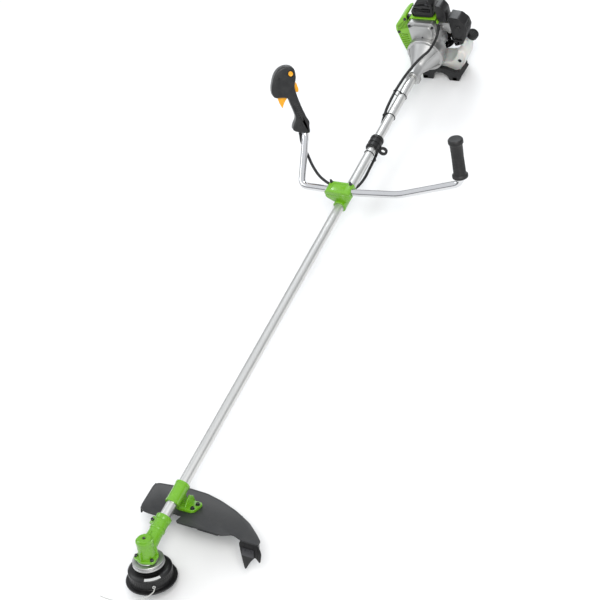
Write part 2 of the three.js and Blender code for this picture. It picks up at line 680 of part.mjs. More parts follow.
function clutchHousing() {
  const body = join(
    rod(NOSE_R, [0, 0, 0], [0, NOSE_END, 0], 24),
    rod(NOSE_R + 2, [0, 0, 0], [0, 8, 0], 24),
    rod(NOSE_R + 2, [0, NOSE_END - 4, 0], [0, BELL_START + 1, 0], 24, BELL_R - 6),
    rod(BELL_R, [0, BELL_START, 0], [0, BELL_END, 0], 24),
    slabAlongY([[-41, 20], [41, 20], [41, 92], [33, 101], [-33, 101], [-41, 92]], 118, BELL_END),
    box([-12, 10, -NOSE_R - 9], [12, 30, -10]),
  );
  const bulgeRoom = slabAlongY([
    [-38, 24], [38, 24], [38, 90], [31, 98], [-31, 98], [-38, 90],
  ], 121, BELL_END + 1);
  const housing = cut(
    body,
    rod(TUBE_R + GAP, [0, -1, 0], [0, NOSE_END - 4 + GAP, 0], 24),
    rod(10, [0, NOSE_END - 6, 0], [0, BELL_START - 15, 0], 20),
    rod(DRUM_CUP_R + 3, [0, BELL_START - 17, 0], [0, BELL_START + 9, 0], 24),
    rod(BELL_R - 4, [0, BELL_START + 8, 0], [0, BELL_END + 1, 0], 24),
    bulgeRoom,
    box([-1, -1, -NOSE_R - 12], [1, 36, -TUBE_R + 1]),
  );
  add(engine, 'clutch_housing', housing, CAST);
}

function clutch() {
  const start = BELL_START - 15;
  const cup = cut(
    join(
      rod(DRUM_CUP_R, [0, start, 0], [0, start + 21, 0], 24),
      rod(8, [0, start - 17, 0], [0, start + 2, 0], 16),
    ),
    rod(DRUM_CUP_R - 2.5, [0, start + 3, 0], [0, start + 22, 0], 24),
    rod(DRIVE_R + GAP, [0, start - 18, 0], [0, start - 5 + GAP, 0], 12),
  );
  add(engine, 'clutch_drum', cup, STEEL);
  const shoeR = DRUM_CUP_R - 2.5 - RUN;
  const shoes = cut(
    rod(shoeR, [0, start + 6, 0], [0, start + 19, 0], 24),
    box([-50, start, -4], [-9, start + 30, 4]),
    box([9, start, -4], [50, start + 30, 4]),
    box([-7, start, 9], [7, start + 30, 50]),
    box([-7, start, -50], [7, start + 30, -9]),
    rod(4, [0, start, 0], [0, start + 30, 0], 12),
  );
  add(engine, 'clutch_shoes', shoes, STEEL);
  const wheelEnd = BELL_END - 3;
  const blades = Array.from({ length: 10 }, (_, i) => {
    const blade = box([14, wheelEnd - 21, -1.2], [FLYWHEEL_R - 1, wheelEnd - 6, 1.2]);
    return blade.rotateY((i * 2 * Math.PI) / 10);
  });
  const wheel = join(
    rod(FLYWHEEL_R, [0, wheelEnd - 7, 0], [0, wheelEnd, 0], 24),
    rod(15, [0, wheelEnd - 21, 0], [0, wheelEnd - 6, 0], 16),
    ...blades,
  );
  add(engine, 'flywheel', cut(wheel, rod(6 + GAP, [0, wheelEnd - 30, 0], [0, BELL_END, 0], 16)), CAST);
}

function crankTrain() {
  const y = CYLINDER_Y;
  const [low, high] = [y - 25, y + 25];
  const cylinderSeat = box([-31, low + 1, 8], [31, high - 1, 44]);
  const casing = cut(
    join(rod(34, [0, BELL_END + 1, 0], [0, high + 3, 0], 24), cylinderSeat),
    rod(25, [0, y - 19, 0], [0, y + 19, 0], 24),
    rod(6 + GAP, [0, BELL_END - 4, 0], [0, high + 9, 0], 16),
    rod(BORE_R + 1.5, [0, y, 10], [0, y, 50], 24),
  );
  add(engine, 'crankcase', casing, CAST);

  const web = (from, to) => rod(22, [0, from, 0], [0, to, 0], 24);
  const crank = join(
    rod(6, [0, BELL_END - 23, 0], [0, y - 8, 0], 16),
    rod(6, [0, y + 8, 0], [0, high + 1, 0], 16),
    web(y - 16, y - 7),
    web(y + 7, y + 16),
    rod(5, [0, y - 8, CRANK_THROW], [0, y + 8, CRANK_THROW], 16),
  );
  add(engine, 'crankshaft', crank, STEEL);

  const pinZ = CRANK_THROW + 46;
  const rodBody = cut(
    join(
      rod(9, [0, y - 5, CRANK_THROW], [0, y + 5, CRANK_THROW], 20),
      rod(7, [0, y - 5, pinZ], [0, y + 5, pinZ], 16),
      box([-4, y - 3, CRANK_THROW + 4], [4, y + 3, pinZ - 3]),
    ),
    rod(5 + GAP, [0, y - 9, CRANK_THROW], [0, y + 9, CRANK_THROW], 16),
    rod(3.5 + GAP, [0, y - 9, pinZ], [0, y + 9, pinZ], 12),
  );
  add(engine, 'connecting_rod', rodBody, STEEL);

  const crown = pinZ + 22;
  const piston = join(
    cut(
      rod(BORE_R - GAP, [0, y, pinZ - 10], [0, y, crown], 24),
      rod(BORE_R - 3, [0, y, pinZ - 12], [0, y, crown - 5], 24),
    ),
    rod(3.5, [0, y - BORE_R + 1, pinZ], [0, y + BORE_R - 1, pinZ], 12),
  );
  add(engine, 'piston', piston, SATIN);

  const chamber = crown + 5;
  const finTop = 98;
  const fins = Array.from({ length: 6 }, (_, i) => {
    const z = 52 + i * 8;
    return box([-40, y - 24, z], [40, y + 24, z + 2.4]);
  });
  const barrel = cut(
    join(
      rod(24, [0, y, 44 + GAP], [0, y, finTop], 16),
      box([24 - 6, y - 10, 54], [46, y + 10, 78]),
      box([-47, y - 12, 50], [-18, y + 12, 76]),
      ...fins,
    ),
    rod(BORE_R, [0, y, 40], [0, y, chamber], 24),
    rod(5 + GAP, [0, y, chamber - 1], [0, y, finTop + 3], 16),
  );
  add(engine, 'cylinder', barrel, CAST);

  const plug = turned([
    [0, chamber - 0.5], [5, chamber - 0.5], [5, 98.5], [9, 99], [9, 107], [5, 108], [5, 124], [0, 124],
  ], 16);
  add(engine, 'spark_plug', move(plug, 0, y, 0), SATIN);
}

function covers() {
  const y = CYLINDER_Y;
  const [near, far] = [y - 28, y + 28];
  const boot = cut(
    slabAlongY([
      [-30, 104], [34, 104], [40, 150], [30, 167], [-6, 161], [-32, 124],
    ], y - 24, y + 20),
    rod(9.6, [0, y, 100], [0, y, 127], 16),
  );
  add(engine, 'plug_boot', boot, BLACK);

  const shroud = cut(
    slabAlongY([[-46, 62], [-46, 94], [-38, 103.7], [38, 103.7], [46, 94], [46, 62]], near + 1, far),
    box([-43, near - 3, 50], [43, far - SHELL, 101]),
    box([-60, near - 9, 60], [-30, far + 9, 80]),
    box([30, near - 9, 60], [60, far + 9, 88]),
    rod(12, [0, y, 96], [0, y, 110], 20),
  );
  add(engine, 'engine_cover', shroud, GREEN);

  const muffler = cut(
    box([-80, y - 20, -6], [-47 - GAP, y + 20, 76]),
    box([-78, y - 18, -4], [-50, y + 18, 74]),
    rod(5, [-64, y - 30, 6], [-64, y - 10, 6], 12),
  );
  add(engine, 'muffler', muffler, DARK_STEEL);

  const outline = [
    [-48, 112], [-66, 101], [-90, 72], [-93, 52], [-86, 6], [-78, -28], [-67, -39], [-48, -41],
  ];
  const hollow = inset(outline, SHELL);
  hollow[0][0] = -30;
  hollow[7][0] = -30;
  const slots = Array.from({ length: 5 }, (_, i) => {
    const x = -80 + i * 6;
    return box([x, near - 5, 60], [x + 3, near + 9, 78]);
  });
  const rows = Array.from({ length: 5 }, (_, i) => {
    const z = -26 + i * 15;
    return box([-76, near - 5, z], [-58, near + 9, z + 6]);
  });
  const inside = slabAlongY(hollow, near + SHELL, far + 9);
  const cover = cut(slabAlongY(outline, near, far), inside, ...slots, ...rows);
  add(engine, 'muffler_cover', cover, GREEN);
}

function intake() {
  const y = CYLINDER_Y;
  const carb = cut(
    join(
      box([46 + GAP, y - 14, 50], [76, y + 14, 82]),
      rod(9, [61, y, 44], [61, y, 52], 20),
    ),
    rod(7, [40, y, 66], [80, y, 66], 16),
    rod(7.6, [61, y, 40], [61, y, 50], 20),
  );
  add(engine, 'carburetor', carb, CAST);
  const arm = join(rod(5, [61, y, 82 + GAP], [61, y, 86], 16), box([56.5, y - 17, 83], [60, y, 85]));
  add(engine, 'throttle_arm', arm, STEEL);
  const bulb = turned([[0, 43], [7, 43], [7, 41], [5.5, 37], [3, 34.5], [0, 34]], 16);
  add(engine, 'primer_bulb', move(bulb, 61, y, 0), NYLON);

  const shield = cut(
    slabAlongY([[46 + GAP, 92], [74, 92], [75, 130], [66, 147], [46 + GAP, 150]], y - 24, y + 10),
    slabAlongY([[49, 95], [71, 95], [72, 129], [64, 144], [49, 147]], y - 21, y + 11),
  );
  add(engine, 'intake_cover', shield, BLACK);

  const outline = [[80, 113], [112, 109], [128, 92], [131, 70], [122, 45], [106, 17], [80, 8]];
  const [near, far] = [y - 26, y + 10];
  const hollow = [[70, 110], ...inset(outline, SHELL).slice(1, 6), [70, 11]];
  const leverX = 90;
  const leverZ = 32;
  const cover = cut(
    slabAlongY(outline, near, far),
    slabAlongY(hollow, near + SHELL, far - SHELL),
    rod(3.3, [leverX, near - 5, leverZ], [leverX, near + 9, leverZ], 12),
  );
  add(engine, 'air_filter_cover', cover, BLACK);
  const lever = join(
    rod(3, [leverX, near - 4, leverZ], [leverX, near + 5, leverZ], 12),
    box([leverX - 3, near - 4, leverZ - 3], [leverX + 18, near - GAP, leverZ + 3]),
  );
  add(engine, 'choke_lever', lever, BLACK);
}

function fuel() {
  const y = CYLINDER_Y;
  const outline = [
    [-46, -90], [60, -90], [80, -82], [95, -58], [106, -30], [104, -12], [96, -6], [84, -8],
    [74, -32], [50, -58], [-46, -58],
  ];
  const [near, far] = [y - 27, y + 40];
  const neckY = y + 28;
  const neckFrom = [94, neckY, -18];
  const neckTo = [109, neckY, 2];
  const tank = cut(
    join(slabAlongY(outline, near, far), rod(12, neckFrom, neckTo, 20)),
    slabAlongY(inset(outline, SHELL), near + SHELL, far - SHELL),
    rod(9, [91, neckY, -22], [110.5, neckY, 4], 20),
  );
  add(engine, 'fuel_tank', tank, TANK_WHITE);
  const lid = (t) => neckTo.map((value, i) => value + (value - neckFrom[i]) * t);
  add(engine, 'fuel_cap', rod(16, lid(0.02), lid(0.7), 20), BLACK);
}

function stand() {
  const y = BELL_END - 19;
  const seat = -BELL_R - GAP;
  const outline = [
    [-38, FLOOR], [-6, FLOOR], [-2, seat - 35.7], [10, seat - 23.7], [30, seat - 23.7],
    [42, seat - 35.7], [46, FLOOR], [76, FLOOR], [84, -92], [116, -46], [108, -38], [84, -68],
    [70, seat - 18.7], [42, seat - 7.7], [14, seat - 5.7], [14, seat], [-14, seat],
    [-14, seat - 5.7], [-30, seat - 7.7], [-36, seat - 23.7],
  ];
  const skid = (x0, x1) => box([x0, y, FLOOR], [x1, y + 80, FLOOR + 14]);
  add(engine, 'stand', join(
    slabAlongY(outline, y, y + 12),
    skid(-36, -20),
    skid(56, 72),
    box([-36, y + 70, FLOOR + 3], [72, y + 80, FLOOR + 14]),
  ), BLACK);
}

function starter() {
  const near = CYLINDER_Y + 29;
  const cup = turnedAlongY([
    [0, near + 38], [40, near + 38], [56, near + 26], [56, near], [56 - SHELL, near],
    [56 - SHELL, near + 25], [39, near + 38 - SHELL], [0, near + 38 - SHELL],
  ]);
  const ropeHole = rod(3, [30, near + 16, 40], [42, near + 16, 56], 12);
  add(engine, 'starter_cover', cut(cup, ropeHole), BLACK);
  const [from, to] = [[34.2, near + 16, 45.6], [40.2, near + 16, 53.6]];
  const handle = join(
    rod(4, from, to, 12),
    rod(5, [39.6, near - 2, 52.8], [39.6, near + 34, 52.8], 16),
  );
  add(engine, 'starter_handle', handle, BLACK);
}

// ---------------------------------------------------------------- assembly

shaft();
gearCase();
lineHead();
guard();
handlebar();
leftGrip();
throttle();
conduit();
harness();
clutchHousing();
clutch();
crankTrain();
covers();
intake();
fuel();
stand();
starter();

// The origin is under the middle of the machine's box, on the floor. The free line isn't counted.
machine.updateMatrixWorld(true);
const bounds = new THREE.Box3();
machine.traverse((piece) => {
  if (piece.isMesh && piece.name !== 'trimmer_line') bounds.expandByObject(piece, true);
});
const middle = bounds.getCenter(new THREE.Vector3());
machine.position.set(-middle.x, -middle.y, -bounds.min.z);
machine.updateMatrixWorld(true);

export default machine;
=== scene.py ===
# %% [markdown]
# # A petrol string trimmer, piece by piece
# The machine is a long shaft with a line head under a guard at one end and a small two-stroke
# engine at the other, and a bicycle-style handlebar between them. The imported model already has
# every part at its real size and place. This lesson puts finished surfaces on that frame: each
# piece that shows is rebuilt with rounder edges and finer detail, and it rides on the frame's body.

import json
import math

import bmesh
import bpy
from mathutils import Matrix, Vector


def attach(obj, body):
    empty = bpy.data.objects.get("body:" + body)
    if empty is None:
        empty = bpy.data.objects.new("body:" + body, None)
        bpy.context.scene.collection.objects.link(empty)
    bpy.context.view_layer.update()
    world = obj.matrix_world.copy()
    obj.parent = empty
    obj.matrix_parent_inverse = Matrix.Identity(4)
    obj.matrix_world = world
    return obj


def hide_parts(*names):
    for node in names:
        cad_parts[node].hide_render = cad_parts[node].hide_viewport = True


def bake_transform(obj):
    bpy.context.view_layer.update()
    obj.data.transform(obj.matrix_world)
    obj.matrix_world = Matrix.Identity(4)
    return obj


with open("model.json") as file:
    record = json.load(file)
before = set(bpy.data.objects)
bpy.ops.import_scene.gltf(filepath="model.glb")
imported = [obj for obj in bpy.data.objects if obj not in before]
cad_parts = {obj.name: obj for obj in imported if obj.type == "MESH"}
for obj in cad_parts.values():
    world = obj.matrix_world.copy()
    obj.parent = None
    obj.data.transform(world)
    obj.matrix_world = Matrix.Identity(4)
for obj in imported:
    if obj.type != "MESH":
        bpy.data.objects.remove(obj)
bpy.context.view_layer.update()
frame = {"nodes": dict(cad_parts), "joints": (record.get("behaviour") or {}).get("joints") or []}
nodes = frame["nodes"]
joints = {j["name"]: j for j in frame["joints"]}

# %% [markdown]
# ## Places to build in
# A maker measures each part from its own datum: the head from its spindle, the grip from its end.
# So every part here is drawn in millimetres in a local frame, and one matrix carries it to its
# place. The gear case's apex, where the two gear axes cross, is the first joint's position.

# %% Local frames
APEX = Vector(joints["head_spin"]["pos_m"])
MM = Matrix.Scale(0.001, 4)
MACHINE = Matrix.Translation(APEX)
HEAD = MACHINE @ Matrix.Rotation(math.radians(-22), 4, "X")
GUARD = Matrix.Translation((APEX.x, -0.750373, 0.090818)) @ Matrix.Rotation(math.radians(-32), 4, "X")
ENGINE = MACHINE @ Matrix.Translation((0, 1.562, 0))


def standing(origin, up, front):
    """A frame with z along up and x towards front."""
    z = Vector(up).normalized()
    x = (Vector(front) - z * Vector(front).dot(z)).normalized()
    turn = Matrix((x, z.cross(x), z)).transposed().to_4x4()
    return Matrix.Translation(origin) @ turn


RIGHT_GRIP = standing((-0.204690, 0.376971, 0.195153), (-0.200562, 0.381068, 0.902531), (-0.7, -0.7, 0))
LEFT_GRIP = standing((0.269338, 0.312570, 0.175478), (0, 0.232614, 0.972569), (0, -1, 0))
ALONG_SHAFT = Matrix.Rotation(-math.pi / 2, 4, "X")
print("apex", tuple(round(v, 4) for v in APEX))

# %% [markdown]
# ## The camera
# The view is from above the operator's left front, with the shaft running up to the right. A long
# lens keeps the shaft straight and nearly parallel. The camera comes first.

# %% Camera
camera = bpy.data.objects.new("camera", bpy.data.cameras.new("camera"))
bpy.context.scene.collection.objects.link(camera)
right = Vector((0.859202, 0.423733, -0.286744))
up = Vector((-0.164483, 0.759456, 0.629422))
back = right.cross(up).normalized()
camera.matrix_world = Matrix.Translation((1.666578, -1.821011, 2.620274)) @ Matrix(
    (right, up, back)
).transposed().to_4x4()
camera.data.lens = 83.1
camera.data.sensor_width = 36
camera.data.clip_end = 50
bpy.context.scene.camera = camera
print("camera looks along", tuple(round(v, 3) for v in -back))

# %% [markdown]
# ## Shapes to start from
# Most of the machine is turned, pressed or moulded. A turned part is a profile spun about an axis.
# A flat or moulded part is an outline pulled to a thickness and then bevelled, so that its edges
# catch the light as real ones do. Bent bars follow a path. Each helper returns one closed shape in
# millimetres, and a Piece gathers several and becomes one object.


# %% Turned shapes
def turned(profile, sides=64, closed=True):
    """A profile of (radius, height) points spun about z."""
    bm = bmesh.new()
    ring = [bm.verts.new((r, 0, z)) for r, z in profile]
    pairs = list(zip(ring, ring[1:])) + ([(ring[-1], ring[0])] if closed else [])
    edges = [bm.edges.new(pair) for pair in pairs if any(abs(vert.co.x) >= 1e-6 for vert in pair)]
    bmesh.ops.spin(
        bm, geom=ring + edges, cent=(0, 0, 0), axis=(0, 0, 1), angle=2 * math.pi,
        steps=sides, use_merge=True, use_duplicate=False,
    )
    bmesh.ops.remove_doubles(bm, verts=bm.verts, dist=1e-4)
    bmesh.ops.dissolve_degenerate(bm, edges=bm.edges, dist=1e-4)
    bmesh.ops.recalc_face_normals(bm, faces=bm.faces)
    return bm


def swung(profile, start, sweep, steps=24):
    """A profile of (radius, height) points swung through part of a turn."""
    bm = bmesh.new()
    face = bm.faces.new([bm.verts.new((r, 0, z)) for r, z in profile])
    bmesh.ops.rotate(bm, cent=(0, 0, 0), matrix=Matrix.Rotation(math.radians(start), 3, "Z"), verts=bm.verts)
    bmesh.ops.spin(bm, geom=[face], cent=(0, 0, 0), axis=(0, 0, 1), angle=math.radians(sweep), steps=steps,
                   use_duplicate=False)
    bmesh.ops.recalc_face_normals(bm, faces=bm.faces)
    return bm


def inset(outline, depth):
    """An outline drawn inwards by a depth, for one that runs anticlockwise."""
    pulled = []
    for before, here, after in zip(outline[-1:] + outline[:-1], outline, outline[1:] + outline[:1]):
        a = Vector((here[0] - before[0], here[1] - before[1])).normalized()
        b = Vector((after[0] - here[0], after[1] - here[1])).normalized()
        side = Vector((-a.y - b.y, a.x + b.x)).normalized()
        scale = depth / max(0.5, side.dot(Vector((-a.y, a.x))))
        pulled.append((here[0] + side.x * scale, here[1] + side.y * scale))
    return pulled


def soften(bm, rim, segments=2, angle=25):
    """Bevels every edge that turns by more than an angle."""
    sharp = [e for e in bm.edges if e.is_manifold and e.calc_face_angle(0) > math.radians(angle)]
    bmesh.ops.bevel(
        bm, geom=sharp, offset=rim, segments=segments, profile=0.5, affect="EDGES",
        material=-1, clamp_overlap=True,
    )
    return bm


print("a turned washer has", len(turned([(3, 0), (6, 0), (6, 1), (3, 1)], 16).faces), "faces")


# %% Flat and moulded shapes
def plate(outline, low, high, rim=0.6, segments=2):
    """An outline of (x, y) points pulled from one height to another, with bevelled rims."""
    bm = bmesh.new()
    face = bm.faces.new([bm.verts.new((x, y, low)) for x, y in outline])
    made = bmesh.ops.extrude_face_region(bm, geom=[face])
    lifted = [g for g in made["geom"] if isinstance(g, bmesh.types.BMVert)]
    bmesh.ops.translate(bm, vec=(0, 0, high - low), verts=lifted)
    bmesh.ops.recalc_face_normals(bm, faces=bm.faces)
    return soften(bm, rim, segments) if rim else bm


def plate_along_y(outline, near, far, rim=0.6, segments=2):
    """The same from (x, z) points, pulled along y."""
    bm = plate(outline, -far, -near, rim, segments)
    bmesh.ops.transform(bm, matrix=Matrix.Rotation(math.pi / 2, 4, "X"), verts=bm.verts)
    return bm


def pillowed(outline, near, far, radius, steps=6):
    """An outline of (x, z) points pulled along y, with its far rim rolled over a radius."""
    bm = bmesh.new()
    way = 1 if far > near else -1
    rims = [(0, near)]
    for i in range(steps + 1):
        turn = math.pi / 2 * i / steps
        rims.append((radius * (1 - math.cos(turn)), far - way * radius * (1 - math.sin(turn))))
    loops = []
    for depth, y in rims:
        verts = [bm.verts.new((x, y, z)) for x, z in inset(outline, depth)]
        loops.append((verts, [bm.edges.new(pair) for pair in zip(verts, verts[1:] + verts[:1])]))
    for (_, below), (_, above) in zip(loops, loops[1:]):
        bmesh.ops.bridge_loops(bm, edges=below + above)
    bm.faces.new(loops[0][0])
    bm.faces.new(loops[-1][0])
    bmesh.ops.recalc_face_normals(bm, faces=bm.faces)
    return bm


def block(low, high, rim=0.6, segments=2):
    """A box between two corners."""
    bm = bmesh.new()
    size = Vector(high) - Vector(low)
    place = Matrix.Translation((Vector(low) + Vector(high)) / 2) @ Matrix.Diagonal((*size, 1))
    bmesh.ops.create_cube(bm, size=1, matrix=place)
    return soften(bm, rim, segments) if rim else bm


def along(start, end):
    """A matrix that carries z to the line between two points."""
    line = Vector(end) - Vector(start)
    return Matrix.Translation(start) @ line.to_track_quat("Z", "Y").to_matrix().to_4x4()


def bar(radius, start, end, rim=0.4, sides=32, end_radius=None):
    """A round bar or cone between two points."""
    length = (Vector(end) - Vector(start)).length
    bm = bmesh.new()
    bmesh.ops.create_cone(
        bm, cap_ends=True, segments=sides, radius1=radius,
        radius2=radius if end_radius is None else end_radius, depth=length,
        matrix=along(start, end) @ Matrix.Translation((0, 0, length / 2)),
    )
    return soften(bm, rim, 2, 40) if rim else bm


def smoothed(outline, rounds=2, keep=0.25):
    """Cuts each corner of an outline, again and again, until it is a curve."""
    for _ in range(rounds):
        cut = []
        for (ax, ay), (bx, by) in zip(outline, outline[1:] + outline[:1]):
            cut += [
                (ax + (bx - ax) * keep, ay + (by - ay) * keep),
                (bx + (ax - bx) * keep, by + (ay - by) * keep),
            ]
        outline = cut
    return outline


print("a block has", len(block((0, 0, 0), (1, 2, 3), 0.1).faces), "faces")


# %% Shapes along a path
def swept(points, radius, sides=24, radii=None):
    """A round bar along a list of points, thinner where radii says so."""
    curve = bpy.data.curves.new("path", "CURVE")
    curve.dimensions = "3D"
    curve.bevel_depth = radius
    curve.bevel_resolution = max(1, sides // 4 - 1)
    curve.use_fill_caps = True
    spline = curve.splines.new("POLY")
    spline.points.add(len(points) - 1)
    for i, point in enumerate(points):
        spline.points[i].co = (*point, 1)
        spline.points[i].radius = radii[i] if radii else 1
    holder = bpy.data.objects.new("path", curve)
    bm = bmesh.new()
    bm.from_mesh(holder.to_mesh())
    holder.to_mesh_clear()
    bpy.data.objects.remove(holder)
    bpy.data.curves.remove(curve)
    bmesh.ops.remove_doubles(bm, verts=bm.verts, dist=1e-4)
    return bm


def flowing(route, step):
    """A smooth curve through the points of a route, in steps of one length."""
    points = [Vector(p) for p in route]
    ends = [points[0] * 2 - points[1]] + points + [points[-1] * 2 - points[-2]]
    fine = []
    for a, b, c, d in zip(ends, ends[1:], ends[2:], ends[3:]):
        for i in range(24):
            t = i / 24
            fine.append(0.5 * (
                2 * b + (c - a) * t + (2 * a - 5 * b + 4 * c - d) * t * t
                + (3 * b - a - 3 * c + d) * t ** 3
            ))
    fine.append(points[-1])
    total = sum((b - a).length for a, b in zip(fine, fine[1:]))
    count = max(2, round(total / step))
    spaced, walked, target = [fine[0]], 0.0, total / count
    for a, b in zip(fine, fine[1:]):
        length = (b - a).length
        while walked + length >= target - 1e-9 and len(spaced) < count:
            spaced.append(a.lerp(b, (target - walked) / length))
            target += total / count
        walked += length
    return spaced + [fine[-1]]


def bent(corners, bend, steps=12):
    """Straight runs between corners, with each corner rounded."""
    corners = [Vector(c) for c in corners]
    points = [corners[0]]
    for before, corner, after in zip(corners, corners[1:], corners[2:]):
        enter = corner + (before - corner).normalized() * bend
        leave = corner + (after - corner).normalized() * bend
        for i in range(steps + 1):
            t = i / steps
            points.append(enter * (1 - t) ** 2 + corner * 2 * t * (1 - t) + leave * t * t)
    return points + [corners[-1]]


print("a bent bar has", len(swept(bent([(0, 0, 0), (9, 0, 0), (9, 9, 0)], 3), 1).faces), "faces")


# %% Cutting, and gathering shapes into a piece
def carved(shape, *tools):
    """A shape with the tools cut out of it."""
    holders = []
    for bm in (shape, gathered(*tools)):
        mesh = bpy.data.meshes.new("shape")
        bm.to_mesh(mesh)
        bm.free()
        holder = bpy.data.objects.new("shape", mesh)
        bpy.context.scene.collection.objects.link(holder)
        holders.append(holder)
    cut = holders[0].modifiers.new("cut", "BOOLEAN")
    cut.operation = "DIFFERENCE"
    cut.solver = "EXACT"
    cut.use_self = True
    cut.object = holders[1]
    graph = bpy.context.evaluated_depsgraph_get()
    bm = bmesh.new()
    bm.from_mesh(holders[0].evaluated_get(graph).to_mesh())
    for holder in holders:
        mesh = holder.data
        bpy.data.objects.remove(holder)
        bpy.data.meshes.remove(mesh)
    return bm


def gathered(*shapes):
    """Several shapes in one."""
    bm = bmesh.new()
    for shape in shapes:
        mesh = bpy.data.meshes.new("shape")
        shape.to_mesh(mesh)
        shape.free()
        bm.from_mesh(mesh)
        bpy.data.meshes.remove(mesh)
    return bm


def moved(shape, place):
    """A shape carried by a matrix."""
    bmesh.ops.transform(shape, matrix=place, verts=shape.verts)
    return shape


def piece(name, shapes, place, body, slot, replaces=(), angle=32):
    """One object in the row frame, with its slot's finish, smooth except where it turns sharply."""
    bm = moved(gathered(*shapes), place @ MM)
    mesh = bpy.data.meshes.new(name)
    bm.to_mesh(mesh)
    bm.free()
    mesh.shade_smooth()
    mesh.set_sharp_from_angle(angle=math.radians(angle))
    made = bpy.data.objects.new(name, mesh)
    bpy.context.scene.collection.objects.link(made)
    made.data.materials.append(SLOTS[slot])
    if body:
        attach(made, body)
    if replaces:
        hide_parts(*replaces)
    print(f"{name}: {len(mesh.polygons)} faces")
    return made


def around(count, shape, start=0.0, axis="Z"):
    """Copies of a shape turned about an axis."""
    copies = []
    for i in range(count):
        copy = shape.copy()
        turn = Matrix.Rotation(math.radians(start) + 2 * math.pi * i / count, 4, axis)
        copies.append(moved(copy, turn))
    shape.free()
    return gathered(*copies)


def bolt(at, direction, size=3.0, washer=True, socket=True):
    """A screw's head with its washer, standing on a face at a point."""
    if socket:
        head = turned([(0, 0), (size * 1.7, 0), (size * 1.7, size * 1.5), (size * 1.45, size * 1.75),
                       (size * 0.95, size * 1.75), (size * 0.9, size * 0.7), (0, size * 0.7)], 24)
    else:
        head = bmesh.new()
        bmesh.ops.create_cone(head, cap_ends=True, segments=6, radius1=size * 1.9, radius2=size * 1.9,
                              depth=size * 1.3, matrix=Matrix.Translation((0, 0, size * 0.65)))
        soften(head, size * 0.12)
    shapes = [moved(head, Matrix.Translation((0, 0, 0.8 if washer else 0)))]
    if washer:
        rim = size * 2.3
        shapes.append(turned([(0, -0.2), (rim, -0.2), (rim, 0.7), (size * 2.1, 0.9), (0, 0.9)], 28))
    end = Vector(at) + Vector(direction)
    return moved(gathered(*shapes), along(at, end))


print("a bolt has", len(bolt((0, 0, 0), (0, 0, 1)).faces), "faces")

# %% [markdown]
# ## The floor and the light
# The machine lies on a pale floor, under one broad soft light from the front left, a weaker fill
# from the right and a cool strip behind that draws bright lines on the chrome and the green paint. The
# room around it is dim at the floor and bright overhead, so that the chrome has something to show.

# %% Floor, lights and sky
floor_mesh = bpy.data.meshes.new("floor")
sheet = bmesh.new()
bmesh.ops.create_grid(sheet, x_segments=1, y_segments=1, size=40)
sheet.to_mesh(floor_mesh)
sheet.free()
floor = bpy.data.objects.new("floor", floor_mesh)
bpy.context.scene.collection.objects.link(floor)

for name, at, size, power, tint in (
    ("key", (1.8, -1.6, 3.2), 1.7, 92, (1.0, 0.985, 0.96)),
    ("fill", (-2.6, -0.6, 2.2), 1.6, 20, (0.95, 0.98, 1.0)),
    ("strip", (-0.6, 2.6, 2.0), 1.0, 24, (0.93, 0.97, 1.0)),
):
    lamp = bpy.data.lights.new(name, "AREA")
    lamp.size = size
    lamp.energy = power
    lamp.color = tint
    holder = bpy.data.objects.new(name, lamp)
    aim = Vector((0.0, -0.05, 0.1)) - Vector(at)
    holder.matrix_world = Matrix.Translation(at) @ aim.to_track_quat("-Z", "Y").to_matrix().to_4x4()
    bpy.context.scene.collection.objects.link(holder)

world = bpy.data.worlds.new("room")
world.use_nodes = True
bpy.context.scene.world = world
bpy.context.scene.view_settings.view_transform = "Standard"

# %% [markdown]
# ## Finishes
# A finish is a colour that drifts a little, a roughness that is worn in places, and a fine relief.
# The maths of a finish is written with ordinary signs: a Value wraps a node's output, and adding or
# multiplying two of them adds a Math node. One method makes every other node.


# %% A value to reckon with
class Value:
    """A shader output that can be added, multiplied and compared."""

    def __init__(self, tree, socket):
        self.tree = tree
        self.socket = socket

    def maths(self, operation, *others, flip=False):
        made = self.tree.nodes.new("ShaderNodeMath")
        made.operation = operation
        terms = (others[0], self, *others[1:]) if flip else (self, *others)
        for place, term in enumerate(terms):
            if isinstance(term, Value):
                self.tree.links.new(term.socket, made.inputs[place])
            else:
                made.inputs[place].default_value = term
        return Value(self.tree, made.outputs[0])

    def __add__(self, other):
        return self.maths("ADD", other)

    def __radd__(self, other):
        return self.maths("ADD", other, flip=True)

    def __sub__(self, other):
        return self.maths("SUBTRACT", other)

    def __rsub__(self, other):
        return self.maths("SUBTRACT", other, flip=True)

    def __mul__(self, other):
        return self.maths("MULTIPLY", other)

    def __rmul__(self, other):
        return self.maths("MULTIPLY", other, flip=True)

    def __pow__(self, other):
        return self.maths("POWER", other)

    def above(self, level, soft=0.05):
        """0 below a level and 1 above it, with a soft step."""
        rise = self.maths("SUBTRACT", level - soft).maths("DIVIDE", 2 * soft)
        return rise.maths("MINIMUM", 1).maths("MAXIMUM", 0)


class Nodes:
    """A node tree, and the one method that adds to it."""

    def __init__(self, tree):
        self.tree = tree

    def node(self, kind, out=0, settings=None, **sockets):
        """Makes a node: its kind, its settings, then its sockets."""
        made = self.tree.nodes.new(kind)
        for key, value in (settings or {}).items():
            setattr(made, key, value)
        for key, value in sockets.items():
            numbered = key[0] == "i" and key[1:].isdigit()
            socket = made.inputs[int(key[1:]) if numbered else key.replace("_", " ")]
            if isinstance(value, Value):
                self.tree.links.new(value.socket, socket)
            else:
                socket.default_value = value
        return Value(self.tree, made.outputs[out])


